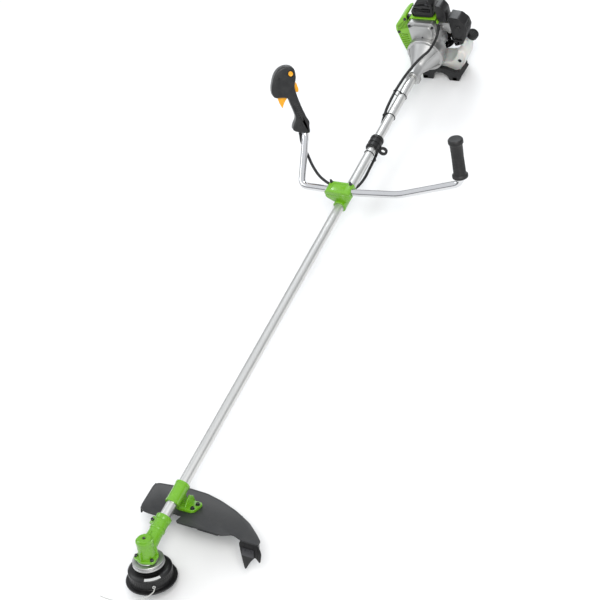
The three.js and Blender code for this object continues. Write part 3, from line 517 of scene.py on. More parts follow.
class Finish(Nodes):
    """A material whose nodes are made one by one."""

    def __init__(self, name, **constants):
        self.material = bpy.data.materials.new(name)
        self.material.use_nodes = True
        super().__init__(self.material.node_tree)
        self.shader = self.tree.nodes["Principled BSDF"]
        for key, value in constants.items():
            self.shader.inputs[key.replace("_", " ")].default_value = value
        self.here = self.node("ShaderNodeTexCoord", out="Object")

    def noise(self, scale, detail=2.0, roughness=0.5, at=None):
        return self.node("ShaderNodeTexNoise", out=0, Vector=at or self.here, Scale=scale,
                         Detail=detail, Roughness=roughness)

    def stretched(self, x, y, z):
        return self.node("ShaderNodeMapping", Vector=self.here, Scale=(x, y, z))

    def mixed(self, share, first, second):
        """A blend of two colours."""
        return self.node(
            "ShaderNodeMix", out=2, settings={"data_type": "RGBA"}, i0=share, i6=first, i7=second,
        )

    def feed(self, **sockets):
        for key, value in sockets.items():
            self.tree.links.new(value.socket, self.shader.inputs[key.replace("_", " ")])

    def relief(self, height, distance, strength=1.0):
        bump = self.node("ShaderNodeBump", Height=height, Distance=distance, Strength=strength)
        self.feed(Normal=bump)


print("shader maths ready")

# %% The sky
sky = Nodes(world.node_tree)
height = sky.node("ShaderNodeSeparateXYZ", out="Z", i0=sky.node("ShaderNodeTexCoord", out="Generated"))
brightness = sky.node(
    "ShaderNodeMapRange", Value=height, From_Min=0.05, From_Max=0.55, To_Min=0.10, To_Max=0.95,
)
background = world.node_tree.nodes["Background"]
background.inputs["Color"].default_value = (0.95, 0.97, 1.0, 1)
sky.tree.links.new(brightness.socket, background.inputs["Strength"])
print("sky nodes", len(world.node_tree.nodes))

# %% [markdown]
# ### Paint and moulded plastic
# The machine's green is the same lime on painted metal and on moulded covers. The paint has a fine
# orange peel and a clear coat; the moulded green is a little flatter. Dark parts are glass-filled
# nylon, which shows a fine leathery grain, dust in the low places and pale scuffs.


# %% Plastics and paint
def plastic(name, dark, light, rough, grain=0.00006, grain_scale=900, scuff=0.35, dust=0.0, **constants):
    f = Finish(name, **constants)
    drift = f.noise(7, 4, 0.55)
    fine = f.noise(grain_scale, 2, 0.6)
    wear = f.noise(46, 8, 0.72)
    scratch = f.noise(30, 6, 0.6, at=f.stretched(1, 9, 3)).above(0.64, 0.02)
    colour = f.mixed(drift, (*dark, 1), (*light, 1))
    if dust:
        colour = f.mixed(wear.above(0.56, 0.12) * dust, colour, (0.33, 0.32, 0.29, 1))
    colour = f.mixed(scratch * scuff * 0.25, colour, (*[min(1, c * 1.8 + 0.05) for c in light], 1))
    f.feed(Base_Color=colour, Roughness=rough + (wear - 0.5) * 0.22 + scratch * 0.08 * scuff)
    f.relief(fine + wear * 0.3 - scratch * 0.2, grain)
    return f.material


GREEN = (0.105, 0.31, 0.006)
LIME = (0.15, 0.40, 0.010)
green_paint = plastic("green powder coat", GREEN, LIME, 0.27, 0.00004, 420, 0.3,
                      Coat_Weight=0.35, Coat_Roughness=0.08)
green_plastic = plastic("green moulding", (0.165, 0.43, 0.008), (0.215, 0.50, 0.014), 0.33, 0.00004, 700, 0.3,
                        Coat_Weight=0.12, Coat_Roughness=0.15)
black_plastic = plastic("black moulding", (0.0045, 0.0045, 0.005), (0.009, 0.009, 0.0095), 0.36, 0.00006, 800,
                        0.3, 0.02, Specular_IOR_Level=0.38)
grey_plastic = plastic("dark grey moulding", (0.0125, 0.013, 0.014), (0.021, 0.0215, 0.023), 0.37, 0.00007,
                       700, 0.35, 0.03, Specular_IOR_Level=0.42)
yellow_plastic = plastic("orange yellow moulding", (0.86, 0.37, 0.012), (0.93, 0.43, 0.02), 0.34, 0.00004,
                         900, 0.3)
grip_rubber = plastic("soft grip rubber", (0.006, 0.006, 0.0065), (0.012, 0.012, 0.0125), 0.5, 0.00012, 650,
                      0.2, 0.04, Specular_IOR_Level=0.4)
print(len([m for m in bpy.data.materials]), "finishes so far")

# %% [markdown]
# ### Metals
# The shaft is drawn aluminium, brushed along its length and clear anodised, so its relief is
# stretched along y. The castings are tumbled and a little grey. The bar is bright chrome with faint
# smudges, and the screws are blackened steel.


# %% Metals
def metal(name, dark, light, rough, stretch=(1, 1, 1), scale=500, depth=0.00002, smudge=0.15, **constants):
    f = Finish(name, Metallic=1.0, **constants)
    lines = f.noise(scale, 3, 0.6, at=f.stretched(*stretch))
    patches = f.noise(24, 7, 0.65)
    colour = f.mixed(f.noise(11, 3) * 0.6 + lines * 0.4, (*dark, 1), (*light, 1))
    f.feed(Base_Color=colour, Roughness=rough + (patches - 0.5) * smudge + (lines - 0.5) * 0.10)
    f.relief(lines, depth)
    return f.material


satin_tube = metal("satin anodised tube", (0.60, 0.60, 0.59), (0.70, 0.70, 0.68), 0.38, (1, 0.02, 1), 1500,
                   0.000004, 0.06)
cast_alloy = metal("tumbled casting", (0.40, 0.40, 0.40), (0.56, 0.56, 0.55), 0.44, (1, 1, 1), 1100, 0.00008)
chrome = metal("bright chrome", (0.62, 0.62, 0.63), (0.72, 0.72, 0.73), 0.10, (1, 1, 1), 300, 0.000004, 0.12)
steel = metal("ground steel", (0.42, 0.42, 0.42), (0.55, 0.55, 0.54), 0.30, (1, 6, 1), 700, 0.00002)
dark_steel = metal(
    "blackened steel", (0.055, 0.055, 0.06), (0.12, 0.12, 0.125), 0.36, (1, 1, 1), 900, 0.00003,
)
print("metals ready")


# %% Tank plastic, line and floor
def milky(name, colour_low, colour_high, rough, **constants):
    f = Finish(name, **constants)
    cloud = f.noise(9, 5, 0.6)
    f.feed(Base_Color=f.mixed(cloud, (*colour_low, 1), (*colour_high, 1)),
           Roughness=rough + (f.noise(40, 6) - 0.5) * 0.2)
    f.relief(f.noise(600, 2), 0.00005)
    return f.material


white_tank = milky("milky tank", (0.62, 0.62, 0.58), (0.74, 0.74, 0.71), 0.34, Subsurface_Weight=0.25,
                   Subsurface_Scale=0.01)
clear_nylon = milky("cutting line", (0.42, 0.42, 0.40), (0.55, 0.55, 0.53), 0.28)
paper = Finish("floor sheet")
paper_tone = paper.mixed(paper.noise(1.5, 3), (0.80, 0.80, 0.80, 1), (0.84, 0.84, 0.84, 1))
paper.feed(Base_Color=paper_tone, Roughness=0.62 + paper.noise(60, 4) * 0.12)
floor.data.materials.append(paper.material)

SLOTS = {
    "green_paint": green_paint, "green_plastic": green_plastic, "satin_tube": satin_tube,
    "cast_alloy": cast_alloy, "chrome": chrome, "steel": steel, "dark_steel": dark_steel,
    "black_plastic": black_plastic, "grey_plastic": grey_plastic, "grip_rubber": grip_rubber,
    "yellow_plastic": yellow_plastic, "white_tank": white_tank, "clear_nylon": clear_nylon,
}
print("finishes", len(SLOTS))

# %% [markdown]
# ## The cutting line
# The line is stiff nylon cord, fed out of an eyelet in the drum. Its free end is short here and
# curls back the way it was wound on the spool. It is one open curve with a round bevel, and it is
# attached to the head's body, so that it turns with the head.

# %% Cutting line
def eyelet(radius):
    """A point on the drum's line exit, at a radius from the spindle."""
    return (radius * math.cos(math.radians(47)), -radius * math.sin(math.radians(47)), -68)


LINE_POINTS = [
    eyelet(54.1), eyelet(60.5), (43.5, -53, -68.5), (41, -65, -69), (33, -77, -70), (21, -87, -71.5),
    (7, -94.5, -73), (-9, -99.5, -75), (-26, -102, -77), (-43, -102.5, -79), (-60, -101, -81),
    (-76, -98, -83),
]
line_curve = bpy.data.curves.new("cutting_line", "CURVE")
line_curve.dimensions = "3D"
line_curve.bevel_depth = 0.0012
line_curve.bevel_resolution = 3
line_curve.use_fill_caps = True
spline = line_curve.splines.new("POLY")
line_route = [HEAD @ MM @ p for p in flowing(LINE_POINTS, 3.0)]
spline.points.add(len(line_route) - 1)
for knot, place in zip(spline.points, line_route):
    knot.co = (*place, 1)
spline.use_smooth = True
line = bpy.data.objects.new("cutting_line", line_curve)
bpy.context.scene.collection.objects.link(line)
line.data.materials.append(SLOTS["clear_nylon"])
line_length = sum((b - a).length for a, b in zip(line_route, line_route[1:]))
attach(line, "cutting_head")
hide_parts("trimmer_line")
print("line length", round(line_length, 4))

# %% [markdown]
# ## The shaft and its gear case
# The shaft is one long drawn tube. At its lower end a cast elbow turns the drive downwards through
# two bevel gears: a split collar grips the tube with one clamp screw, the elbow's neck swells into
# an upright barrel, and the barrel stands on a three-lobed plate held by three screws.

# %% Sizes that several pieces share
SHAFT_ROOM = 13.3  # a bore that clears the 26 mm shaft
BAR_R = 9.5
BAR_ROOM = 9.8  # a bore that clears the handlebar
BAR_Y = 1092
BAR_RISE = 34  # the bar's centre above the shaft's axis
print("shaft bore", SHAFT_ROOM, "bar bore", BAR_ROOM)

# %% Shaft
piece(
    "shaft",
    [
        moved(
            turned([(11.2, 36), (12.6, 36), (13, 36.5), (13, 1601.6), (12.6, 1602), (11.2, 1602)], 96),
            ALONG_SHAFT,
        ),
    ],
    MACHINE, "machine", "satin_tube", ["shaft_tube"],
)

# %% Gear case
TILT = HEAD.inverted() @ MACHINE
collar = [
    moved(
        turned(
            [
                (13.1, 20), (17.2, 20), (18.4, 26), (17.5, 31), (17.5, 49), (18.6, 50), (19.1, 51),
                (19.1, 55), (18.6, 56), (17.5, 57), (17.5, 75), (18.6, 76), (19.1, 77.2), (19.1, 86.5),
                (18, 88), (13.1, 88),
            ],
            72,
        ),
        ALONG_SHAFT,
    ),
]
ear = plate_along_y(smoothed([(-27, -7), (-8, -7), (-8, 7), (-27, 7)], 2, 0.2), 62, 80, 0.8, 3)
collar.append(carved(ear, block((-30, 60, -0.7), (-15, 82, 0.7), 0)))
neck = moved(
    turned([(0, -4), (17, -4), (18.6, 4), (19, 16), (18.4, 30), (17.4, 42), (0, 42)], 64), ALONG_SHAFT,
)
barrel = turned([
    (0, -18), (20.6, -18), (20, -12), (19.6, 4), (20, 22), (20.6, 25), (20.2, 28), (17.6, 29), (17, 31.6),
    (15, 33), (6, 33), (5.4, 32), (0, 32),
], 72)
lobes = []
for i in range(36):
    turn = 10 * i
    reach = 26.2 + 5.6 * max(0.0, math.cos(math.radians(3 * (turn - 90)))) ** 2
    lobes.append((reach * math.cos(math.radians(turn)), reach * math.sin(math.radians(turn))))
base = [plate(lobes, -23, -16, 1.6, 4), plate([(x * 0.82, y * 0.82) for x, y in lobes], -16.4, -14.6, 0.8, 3)]
webs = around(3, block((14, -1.6, -16), (25, 1.6, 4), 1.2), 30)
gear_case = moved(gathered(barrel, *base, webs), TILT.inverted())
gear_rib = block((-1.8, 8, 12), (1.8, 40, 21), 1.2)
piece("gear_case_shell", [gathered(*collar), neck, gear_case, gear_rib], MACHINE, "machine",
      "green_paint", ["gear_case"])

# %% Gear case screws
plate_screws = [bolt((25 * math.cos(a), 25 * math.sin(a), -16), (0, 0, 1), 2.2)
                for a in map(math.radians, (90, 210, 330))]
piece("gear_case_screws", plate_screws, HEAD, "machine", "dark_steel")
piece("clamp_screw", [bolt((-20.5, 71, 6.9), (0, 0, 1), 2.3, washer=False),
                      bar(2.4, (-20.5, 71, -9.4), (-20.5, 71, 7), 0.3)],
      MACHINE, "machine", "dark_steel", ["gear_clamp_bolt"])
piece("grease_plug", [bolt((0, 0, 31.6), (0, 0, 1), 1.9, washer=False, socket=False)],
      HEAD, "machine", "dark_steel")

# %% [markdown]
# ## The line head
# The drum holds a spool of line and turns at engine speed. Tapping its bottom knob on the ground
# lets a little line out. It is moulded in black nylon: grip ribs round its side, two curved windows
# in its top, latch tabs between its halves. A turned alloy disc in two steps carries it.

# %% Carrier disc
piece("carrier_disc", [turned([
    (5.3, -46), (13.4, -46), (14, -45.4), (14, -38), (36.6, -38), (37.5, -37.3), (37.5, -34.6), (36.8, -34),
    (34.4, -33.4), (34, -32.8), (34, -30.4), (34.6, -29.4), (36, -29.2), (36.5, -28.6), (36.5, -27.2),
    (35.8, -26.5), (24.6, -26.5), (24, -25.8), (23.4, -25), (5.3, -25),
], 96)], HEAD, "cutting_head", "cast_alloy", ["flange_disc"])

# %% Drum
drum = turned(
    [
        (5.3, -48), (42.6, -48), (44.6, -48.4), (49.6, -51.2), (51.2, -52.8), (51.5, -54.4), (51.5, -57),
        (50.9, -57.8), (50.9, -76), (51.5, -76.6), (51.5, -79), (48.5, -79), (48.5, -52.6), (12, -52.6),
        (12, -60), (5.3, -60),
    ],
    96,
)
arcs = []
for middle in (-47, 133):
    sweep = [middle - 27 + 4.5 * i for i in range(13)]
    ring = [(40, a) for a in sweep] + [(35.5, a) for a in reversed(sweep)]
    arcs.append(
        plate(
            [(r * math.cos(math.radians(a)), r * math.sin(math.radians(a))) for r, a in ring], -56, -46, 0,
        ),
    )
drum = carved(drum, *arcs, bar(3.9, eyelet(43.5), eyelet(54.5), 0))
ribs = around(48, block((50.4, -0.7, -75.8), (51.4, 0.7, -58), 0.3), 3.75)
rings = [turned([(r, -48.2), (r + 1.2, -48.2), (r + 1, -47.9), (r + 0.2, -47.9)], 72) for r in (18, 30)]
piece("drum", [drum, ribs, *rings], HEAD, "cutting_head", "black_plastic", ["head_housing"])
gauge = swung([(43.8, -48.9), (49.3, -51.9), (49.7, -51.1), (44.1, -48.1)], -70, 46)
piece("line_gauge", [gauge], HEAD, "cutting_head", "satin_tube")
piece("line_eye", [moved(turned([(1.9, 47.6), (3.6, 47.6), (3.6, 52), (4.0, 52.4), (4.0, 53.1), (3.4, 53.5),
                                    (2.2, 53.5), (1.9, 53)], 32), along(eyelet(0), eyelet(1)))],
      HEAD, "cutting_head", "satin_tube", ["line_eyelet"])

# %% Drum cover and knob
cover = turned(
    [
        (49.5, -79.3), (59.2, -79.3), (60, -79.9), (60, -82.8), (59.2, -83.4), (54, -84.6), (52.6, -85.6),
        (46, -91.4), (39.6, -97.4), (38, -98.6), (36.5, -99), (25, -99), (23.5, -98.4), (23.5, -96),
        (37, -96), (48.5, -85.3),
    ],
    96,
)
tabs = around(2, block((50, -7, -83.3), (59.8, 7, -79.4), 0.8), 43)
cover_ribs = around(
    24,
    moved(
        block((0, -0.8, 0), (14, 0.8, 1.1), 0.4),
        Matrix.Translation((40.4, 0, -97.4)) @ Matrix.Rotation(math.radians(-42.5), 4, "Y"),
    ),
)
piece("drum_cover", [cover, tabs, cover_ribs], HEAD, "cutting_head", "black_plastic", ["head_cover"])
knob = turned([(0, -90.3), (22, -90.3), (22, -99.6), (21, -101), (17.6, -103.6), (16, -104), (0, -104)], 72)
dimples = around(12, bar(1.6, (22.4, 0, -105), (22.4, 0, -93), 0, 16))
piece("tap_knob", [carved(knob, dimples)], HEAD, "bump_feed", "black_plastic", ["bump_knob"])

# %% [markdown]
# ## The guard
# The guard is a wide moulded shell over the operator's side of the head, with a turned-down lip all
# along its curved edge. A softer black skirt hangs under its far end and carries the steel blade
# that trims the line to length. A pressed band and foot hold the shell to the shaft.

# %% Guard shell
GUARD_EDGE = [
    (-86, 2), (-66, -12), (-26, -14), (-25, 12), (25, 12), (26, -16), (71, -17), (151, -18), (174, -2),
    (206, -14), (250, -14), (246, 2), (223, 24), (180, 60), (124, 92), (66, 116), (18, 129), (-36, 131),
    (-127, 116),
]


shell = smoothed(GUARD_EDGE, 3, 0.11)
outer = [p for p in shell if p[1] > 14 and p[0] < 186]
start = next(i for i, p in enumerate(shell) if p[1] > 14 and p[0] < 186 and shell[i - 1][0] >= 186)
curve = [shell[(start + i) % len(shell)] for i in range(len(outer))]
inner = []
for i, p in enumerate(curve):
    a, b = Vector(curve[max(0, i - 1)]), Vector(curve[min(len(curve) - 1, i + 1)])
    t = (b - a).normalized()
    inner.append((p[0] - t.y * 3, p[1] + t.x * 3))
lip = plate(curve + inner[::-1], -20.8, -2.6, 0.8, 3)
bead = swept([(x, y, -0.6) for x, y in inner[2:-2]], 1.0, 12)
stiff = [block((-60 + 34 * i, 18, -8.6), (-58 + 34 * i, 84, -2.8), 0.7) for i in range(7)]
lugs = [block((26, -10, -9), (70, -6.5, -2.7), 0.8), block((84, -12, -9), (140, -8.5, -2.7), 0.8)]
end_wall = plate([(-127, 116), (-86, 2), (-83, 3.6), (-124, 117.4)], -17, -2.6, 0.6, 3)
piece("guard_shell", [plate(shell, -3, 0, 0.9, 3), lip, end_wall, bead, *stiff, *lugs], GUARD, "machine",
      "grey_plastic", ["guard"])

# %% Skirt, blade and bracket
flap = [
    (196, -3.3), (248, -3.3), (256, -23.3), (252, -48.3), (240, -35.3), (226, -51.3), (212, -75.3),
    (204, -45.3),
]
wall = [(248, -13), (243, 2), (221, 23), (190, 47), (188, 44), (218, 20), (239, 1), (244, -13)]
fins = [block((212 + 11 * i, -13.6, -30), (213.8 + 11 * i, -12.6, -6), 0.4) for i in range(4)]
shelf = plate([(200, -12), (247, -12), (239, 1), (218, 20), (206, 20)], -6.3, -3.3, 0.5)
piece(
    "skirt",
    [
        plate_along_y(smoothed(flap, 2, 0.14), -13, -10, 0.8, 3), plate(wall, -37.3, -3.3, 0.6, 3), shelf,
        *fins,
    ],
    GUARD, "machine", "black_plastic", ["guard_skirt"],
)
blade = plate_along_y([(206, -37.3), (238, -37.3), (238, -17.3), (206, -17.3)], -15, -13.4, 0.25)
piece(
    "line_blade",
    [blade, *[bolt((214 + 15 * i, -15, -22), (0, -1, 0), 1.1, washer=False) for i in range(2)]], GUARD,
    "machine", "dark_steel", ["line_cutter_blade"],
)
print("guard done")

# %% Guard bracket
TO_GUARD = GUARD.inverted() @ MACHINE
TO_GUARD.translation *= 1000
band = moved(turned([
    (13.2, 124), (17.4, 124), (18, 124.6), (18, 130), (17.2, 131), (17.2, 173), (18, 174), (18, 179.4),
    (17.4, 180), (13.2, 180),
], 72), TO_GUARD @ ALONG_SHAFT)
foot = plate(smoothed([(-9, 30), (44, 30), (44, 76), (-9, 76)], 2, 0.14), 0.3, 7, 0.8, 3)
cheeks = [
    moved(
        plate([(34, 1), (80, 1), (72, 22), (58, 30), (44, 16)], -1.8, 1.8, 0.8, 3),
        Matrix.Translation((x, 0, 0)) @ Matrix(((0, 0, 1, 0), (1, 0, 0, 0), (0, 1, 0, 0), (0, 0, 0, 1))),
    )
    for x in (-6, 16)
]
clearance = bar(SHAFT_ROOM, TO_GUARD @ Vector((0, 100, 0)), TO_GUARD @ Vector((0, 210, 0)), 0, 72)
piece("guard_clamp", [band, carved(gathered(foot, *cheeks), clearance)], GUARD, "machine",
      "green_paint", ["guard_bracket"])
piece("guard_screws", [bolt((x, y, 6.9), (0, 0, 1), 2.6) for x, y in ((12, 66), (36, 62), (36, 40))],
      GUARD, "machine", "dark_steel")

# %% [markdown]
# ## The handlebar
# One chromed tube is bent to put a grip at each side, and a two-part clamp holds it across the
# shaft. The clamp halves meet at the bar's middle, and two long screws pull them together.

# %% Bar
GRIP_LENGTH = 112


def in_machine(place, point):
    """A point of a local frame, in the machine's millimetres."""
    return (MACHINE.inverted() @ place @ (Vector(point) / 1000)) * 1000


bar_corners = [
    in_machine(LEFT_GRIP, (0, 0, GRIP_LENGTH - 14)),
    (324, 1160, 50), (165, 1106, BAR_RISE), (45, BAR_Y, BAR_RISE), (-118, BAR_Y, BAR_RISE),
    in_machine(RIGHT_GRIP, (4, 0, -0.5)), in_machine(RIGHT_GRIP, (4, 0, 48)),
]
bar_path = bent(bar_corners, 20, 16)
piece("bar", [swept(bar_path, BAR_R, 48)], MACHINE, "machine", "chrome", ["handlebar"], angle=50)

# %% Bar clamp
NEAR, FAR = 1073, 1111


def bar_groove():
    """A cutter that leaves room for the bar. Carving uses it up, so each half takes a fresh one."""
    return bar(BAR_ROOM, (-60, BAR_Y, BAR_RISE), (60, BAR_Y, BAR_RISE), 0, 64)


ring = moved(
    turned(
        [
            (SHAFT_ROOM, 1065), (17.4, 1065), (18, 1065.6), (18, 1071), (17.6, 1072), (17.6, 1112),
            (18, 1113), (17.6, 1115), (SHAFT_ROOM, 1115),
        ],
        72,
    ),
    ALONG_SHAFT,
)
saddle = plate_along_y([(-37, 33.7), (-37, 25), (-35, 22), (-17, 9), (17, 9), (35, 22), (37, 25), (37, 33.7)],
                       NEAR, FAR, 1.1, 3)
tube_room = bar(SHAFT_ROOM, (0, 1040, 0), (0, 1140, 0), 0, 64)
pocket = [block((x - 6, 1078, 8), (x + 6, 1106, 23), 1) for x in (-29, 29)]
saddle = carved(saddle, bar_groove(), tube_room, *pocket)
piece("bar_saddle", [ring, saddle], MACHINE, "machine", "green_paint", ["bar_bracket"])
cap = plate_along_y(
    [
        (-37, 34.3), (37, 34.3), (37, 42.4), (35.6, 44.4), (32, 47.4), (29, 48), (-29, 48), (-32, 47.4),
        (-35.6, 44.4), (-37, 42.4),
    ],
    NEAR, FAR, 1.2, 3,
)
recess = block((-20, 1080, 46.9), (20, 1104, 50), 0.5)
piece("bar_clamp_cap", [carved(cap, bar_groove(), recess)], MACHINE, "machine", "green_paint", ["bar_cap"])
for number, x in ((1, -29), (2, 29)):
    piece(f"clamp_stud_{number}", [bolt((x, 1107, 47.9), (0, 0, 1), 2.1, washer=True, socket=False),
                                   bar(2.9, (x, 1107, 21), (x, 1107, 56), 0.5)],
          MACHINE, "machine", "dark_steel", [f"bar_bolt_{number}"])

# %% [markdown]
# ## The grips
# The left grip is a soft sleeve with a flange at its root and a closed end. Rings and rows of dots
# stop a wet glove from sliding. The right grip is two moulded halves screwed together round the bar,
# and they hold the throttle trigger, the lockout behind it and the stop button.

# %% Left grip
grip_profile = [(BAR_ROOM, 0), (19.6, 0), (20.5, 0.8), (20.5, 6.2), (19.8, 7), (17.4, 9), (16.5, 11)]
for i in range(9):
    z = 14 + 4.6 * i
    grip_profile += [(16.3 - 0.1 * i * 0.6, z), (15.4 - 0.06 * i, z + 0.9), (15.4 - 0.06 * i, z + 1.9),
                     (16.3 - 0.1 * i * 0.6, z + 2.8)]
grip_profile += [
    (15.5, 57), (15.9, 76), (16.5, 95), (17.6, 98.4), (19.5, 100.6), (19.5, 107.4), (18.9, 109.4),
    (16.9, 111.7), (15, 112), (0, 112), (0, 100), (BAR_ROOM, 100),
]
dots = []
for row in range(6):
    ball = bmesh.new()
    bmesh.ops.create_icosphere(ball, subdivisions=1, radius=0.95)
    dots.append(
        around(14, moved(ball, Matrix.Translation((15.6 + 0.05 * row, 0, 60 + 5.6 * row))), 13 * (row % 2)),
    )
piece("soft_grip", [turned(grip_profile, 72), *dots], LEFT_GRIP, "machine", "grip_rubber", ["left_grip"])

# %% Throttle grip
GRIP_SHAPE = [
    (-8.5, 3), (2, 3), (36, 20), (32, 34), (18, 50), (19, 70), (22, 90), (24, 111), (40, 117), (57, 120),
    (63, 131), (60, 149), (46, 177), (30, 192), (10, 196), (-7, 190), (-14, 180), (-12, 157), (-2, 140),
    (0, 124), (-3, 86), (-8, 56), (-10, 46), (-14.5, 32), (-10, 20),
]
TRIGGER_ROOM = [(17, 90), (9, 96), (8, 130), (13, 140), (53, 140), (55, 100), (39, 84)]
LOCK_ROOM = [(-16, 112), (6, 112), (6, 156), (-7, 160), (-16, 150)]
rounded = smoothed(GRIP_SHAPE, 2, 0.22)
GRIP_HALVES = (
    ("grip_half_right", -17, -0.2, "throttle_housing"),
    ("grip_half_left", 0.2, 17, "throttle_cover"),
)
for name, low, high, node in GRIP_HALVES:
    outer_side = low if low < -1 else high
    half = pillowed(rounded, low + high - outer_side, outer_side, 4.5)
    tools = [
        bar(BAR_ROOM, (4, 0, -1), (4, 0, 50.3), 0, 48),
        plate_along_y(TRIGGER_ROOM, -6, 6, 0),
        plate_along_y(LOCK_ROOM, -5, 5, 0),
    ]
    if low > 0:
        tools.append(moved(turned([(0, 0), (7.9, 0), (7.9, 9), (0, 9)], 40),
                           Matrix.Translation((0, 11, 172)) @ Matrix.Rotation(-math.pi / 2, 4, "X")
                           @ Matrix.Diagonal((1, 1.12, 1, 1))))
    for x, z in ((10, 30), (9, 76), (34, 168)):
        tools.append(bar(3.1, (x, outer_side * 0.86, z), (x, outer_side * 1.2, z), 0, 28))
    skin = sorted((outer_side * 0.95, outer_side * 1.03))
    ribs = [block((-3, skin[0], 54 + 6 * i), (14, skin[1], 55.8 + 6 * i), 0.5) for i in range(7)]
    piece(name, [carved(half, *tools), *ribs], RIGHT_GRIP, "machine", "grey_plastic", [node])
screws = [bolt((x, side * 14.2, z), (0, side, 0), 1.5, washer=False) for side in (-1, 1)
          for x, z in ((10, 30), (9, 76), (34, 168))]
piece("grip_screws", screws, RIGHT_GRIP, "machine", "dark_steel")

# %% Trigger, lockout and stop button
trigger = plate_along_y(
    smoothed(
        [
            (37, 134), (49, 134), (51, 122), (49, 100), (45, 86), (38, 98), (28, 108), (19, 112), (19, 120),
            (35, 126),
        ],
        2, 0.12,
    ),
    -5, 5, 1.1, 4,
)
piece("trigger", [trigger], RIGHT_GRIP, "trigger", "yellow_plastic", ["throttle_trigger"])
lock = plate_along_y(
    smoothed([(-6, 152), (0, 150), (1, 132), (0, 118), (-8, 116), (-11, 124), (-9, 138)], 2, 0.15), -4, 4,
    0.9, 4,
)
ridges = [block((-10.4, -3.2, 121 + 4 * i), (-8.6, 3.2, 122.6 + 4 * i), 0.4) for i in range(5)]
piece("lockout", [lock, *ridges], RIGHT_GRIP, "lockout", "yellow_plastic", ["trigger_lockout"])
button = moved(turned([(0, 0), (6.2, 0), (6.2, 3.4), (5.6, 4.3), (4.8, 4.5), (4.2, 4.1), (0, 3.9)], 48),
               Matrix.Translation((0, 14.5, 172)) @ Matrix.Rotation(-math.pi / 2, 4, "X")
               @ Matrix.Diagonal((1, 1.12, 1, 1)))
piece("stop_key", [button], RIGHT_GRIP, "stop", "yellow_plastic", ["stop_button"])

# %% [markdown]
# ## Throttle cable, straps and harness clamp
# The cable runs inside a corrugated sleeve from the grip, round under the clamp and along the shaft
# to the carburettor. Small straps hold it to the shaft. The harness clamp is a moulded split ring
# with an eye that takes the carrying hook.

# %% Cable sleeve
SLEEVE = [
    (-164.8, 1220, 97.5), (-165.5, 1218.5, 88), (-164.5, 1212.5, 74), (-156, 1203, 62), (-133, 1179, 58),
    (-108, 1152, 50), (-82, 1132, 36), (-57, 1125, 20), (-32, 1128, 0), (-13, 1140, -18), (3, 1160, -22),
    (13, 1190, -18), (14, 1225, -15), (8, 1262, -22), (2, 1300, -25), (-8, 1340, -22), (-16, 1375, -11),
    (-18, 1408, 2), (-17, 1440, 12), (-16, 1490, 17), (-12, 1535, 20), (-3, 1563, 27), (12, 1592, 37),
    (27, 1607, 47), (42, 1620, 56), (58, 1631, 76), (68, 1640, 94), (68, 1655, 104), (63, 1672, 105),
]
sleeve_route = flowing(SLEEVE, 0.9)
sleeve_radii = [1.0 if i % 4 in (1, 2) else 0.92 for i in range(len(sleeve_route))]
piece(
    "cable_sleeve", [swept(sleeve_route, 4.0, 20, sleeve_radii)], MACHINE, "machine", "black_plastic",
    ["throttle_conduit"], angle=70,
)
straps = []
for y, cx, cz in ((1262, 8, -22), (1408, -18, 2), (1490, -16, 17)):
    reach = math.hypot(cx, cz)
    out = Vector((cx, 0, cz)).normalized()
    loop = [out * (reach + 5.2) + Vector((0, y, 0))]
    for i in range(1, 24):
        a = 2 * math.pi * i / 24
        turn = Matrix.Rotation(a, 3, "Y") @ out
        swell = 14.0 + max(0.0, math.cos(a)) ** 6 * (reach + 5.2 - 14.0)
        loop.append(turn * swell + Vector((0, y, 0)))
    loop.append(loop[0])
    for a, b in zip(loop, loop[1:]):
        straps.append(bar(1.0, a, b, 0, 10))
    straps.append(
        moved(
            block((-2.4, -2.6, -1.8), (2.4, 2.6, 1.8), 0.5),
            along(loop[3], loop[3] * 2 - Vector((0, y, 0))),
        ),
    )
piece("cable_straps", straps, MACHINE, "machine", "black_plastic")

# %% Harness clamp
TURNED_EYE = Matrix.Rotation(math.radians(30), 4, "Y")
body = moved(turned([(SHAFT_ROOM, 1278), (16.9, 1278), (17.5, 1278.6)] + [
    (r, y) for middle in (1285, 1300, 1315) for r, y in (
        (17.5, middle - 3.6), (19, middle - 3), (19, middle + 3), (17.5, middle + 3.6))
] + [(17.5, 1321.4), (16.9, 1322), (SHAFT_ROOM, 1322)], 72), ALONG_SHAFT)
ear = carved(
    gathered(bar(12.5, (29, 1292, -3), (29, 1292, 3), 0.8, 48), block((14, 1282, -3), (26, 1302, 3), 0.8)),
    bar(6, (29, 1292, -9), (29, 1292, 9), 0, 40), bar(SHAFT_ROOM, (0, 1270, 0), (0, 1310, 0), 0, 48),
)
piece("harness_ring", [body, ear], MACHINE @ TURNED_EYE, "machine", "black_plastic", ["harness_clamp"])
print("front half done")

# %% [markdown]
# ## The engine's near end
# The shaft goes into a cast nose that opens into the clutch bell, and a square shoulder closes the
# bell towards the cylinder. It is all one aluminium casting, tumbled but not painted, with a clamp
# screw in its nose and four washered screws on the shoulder.

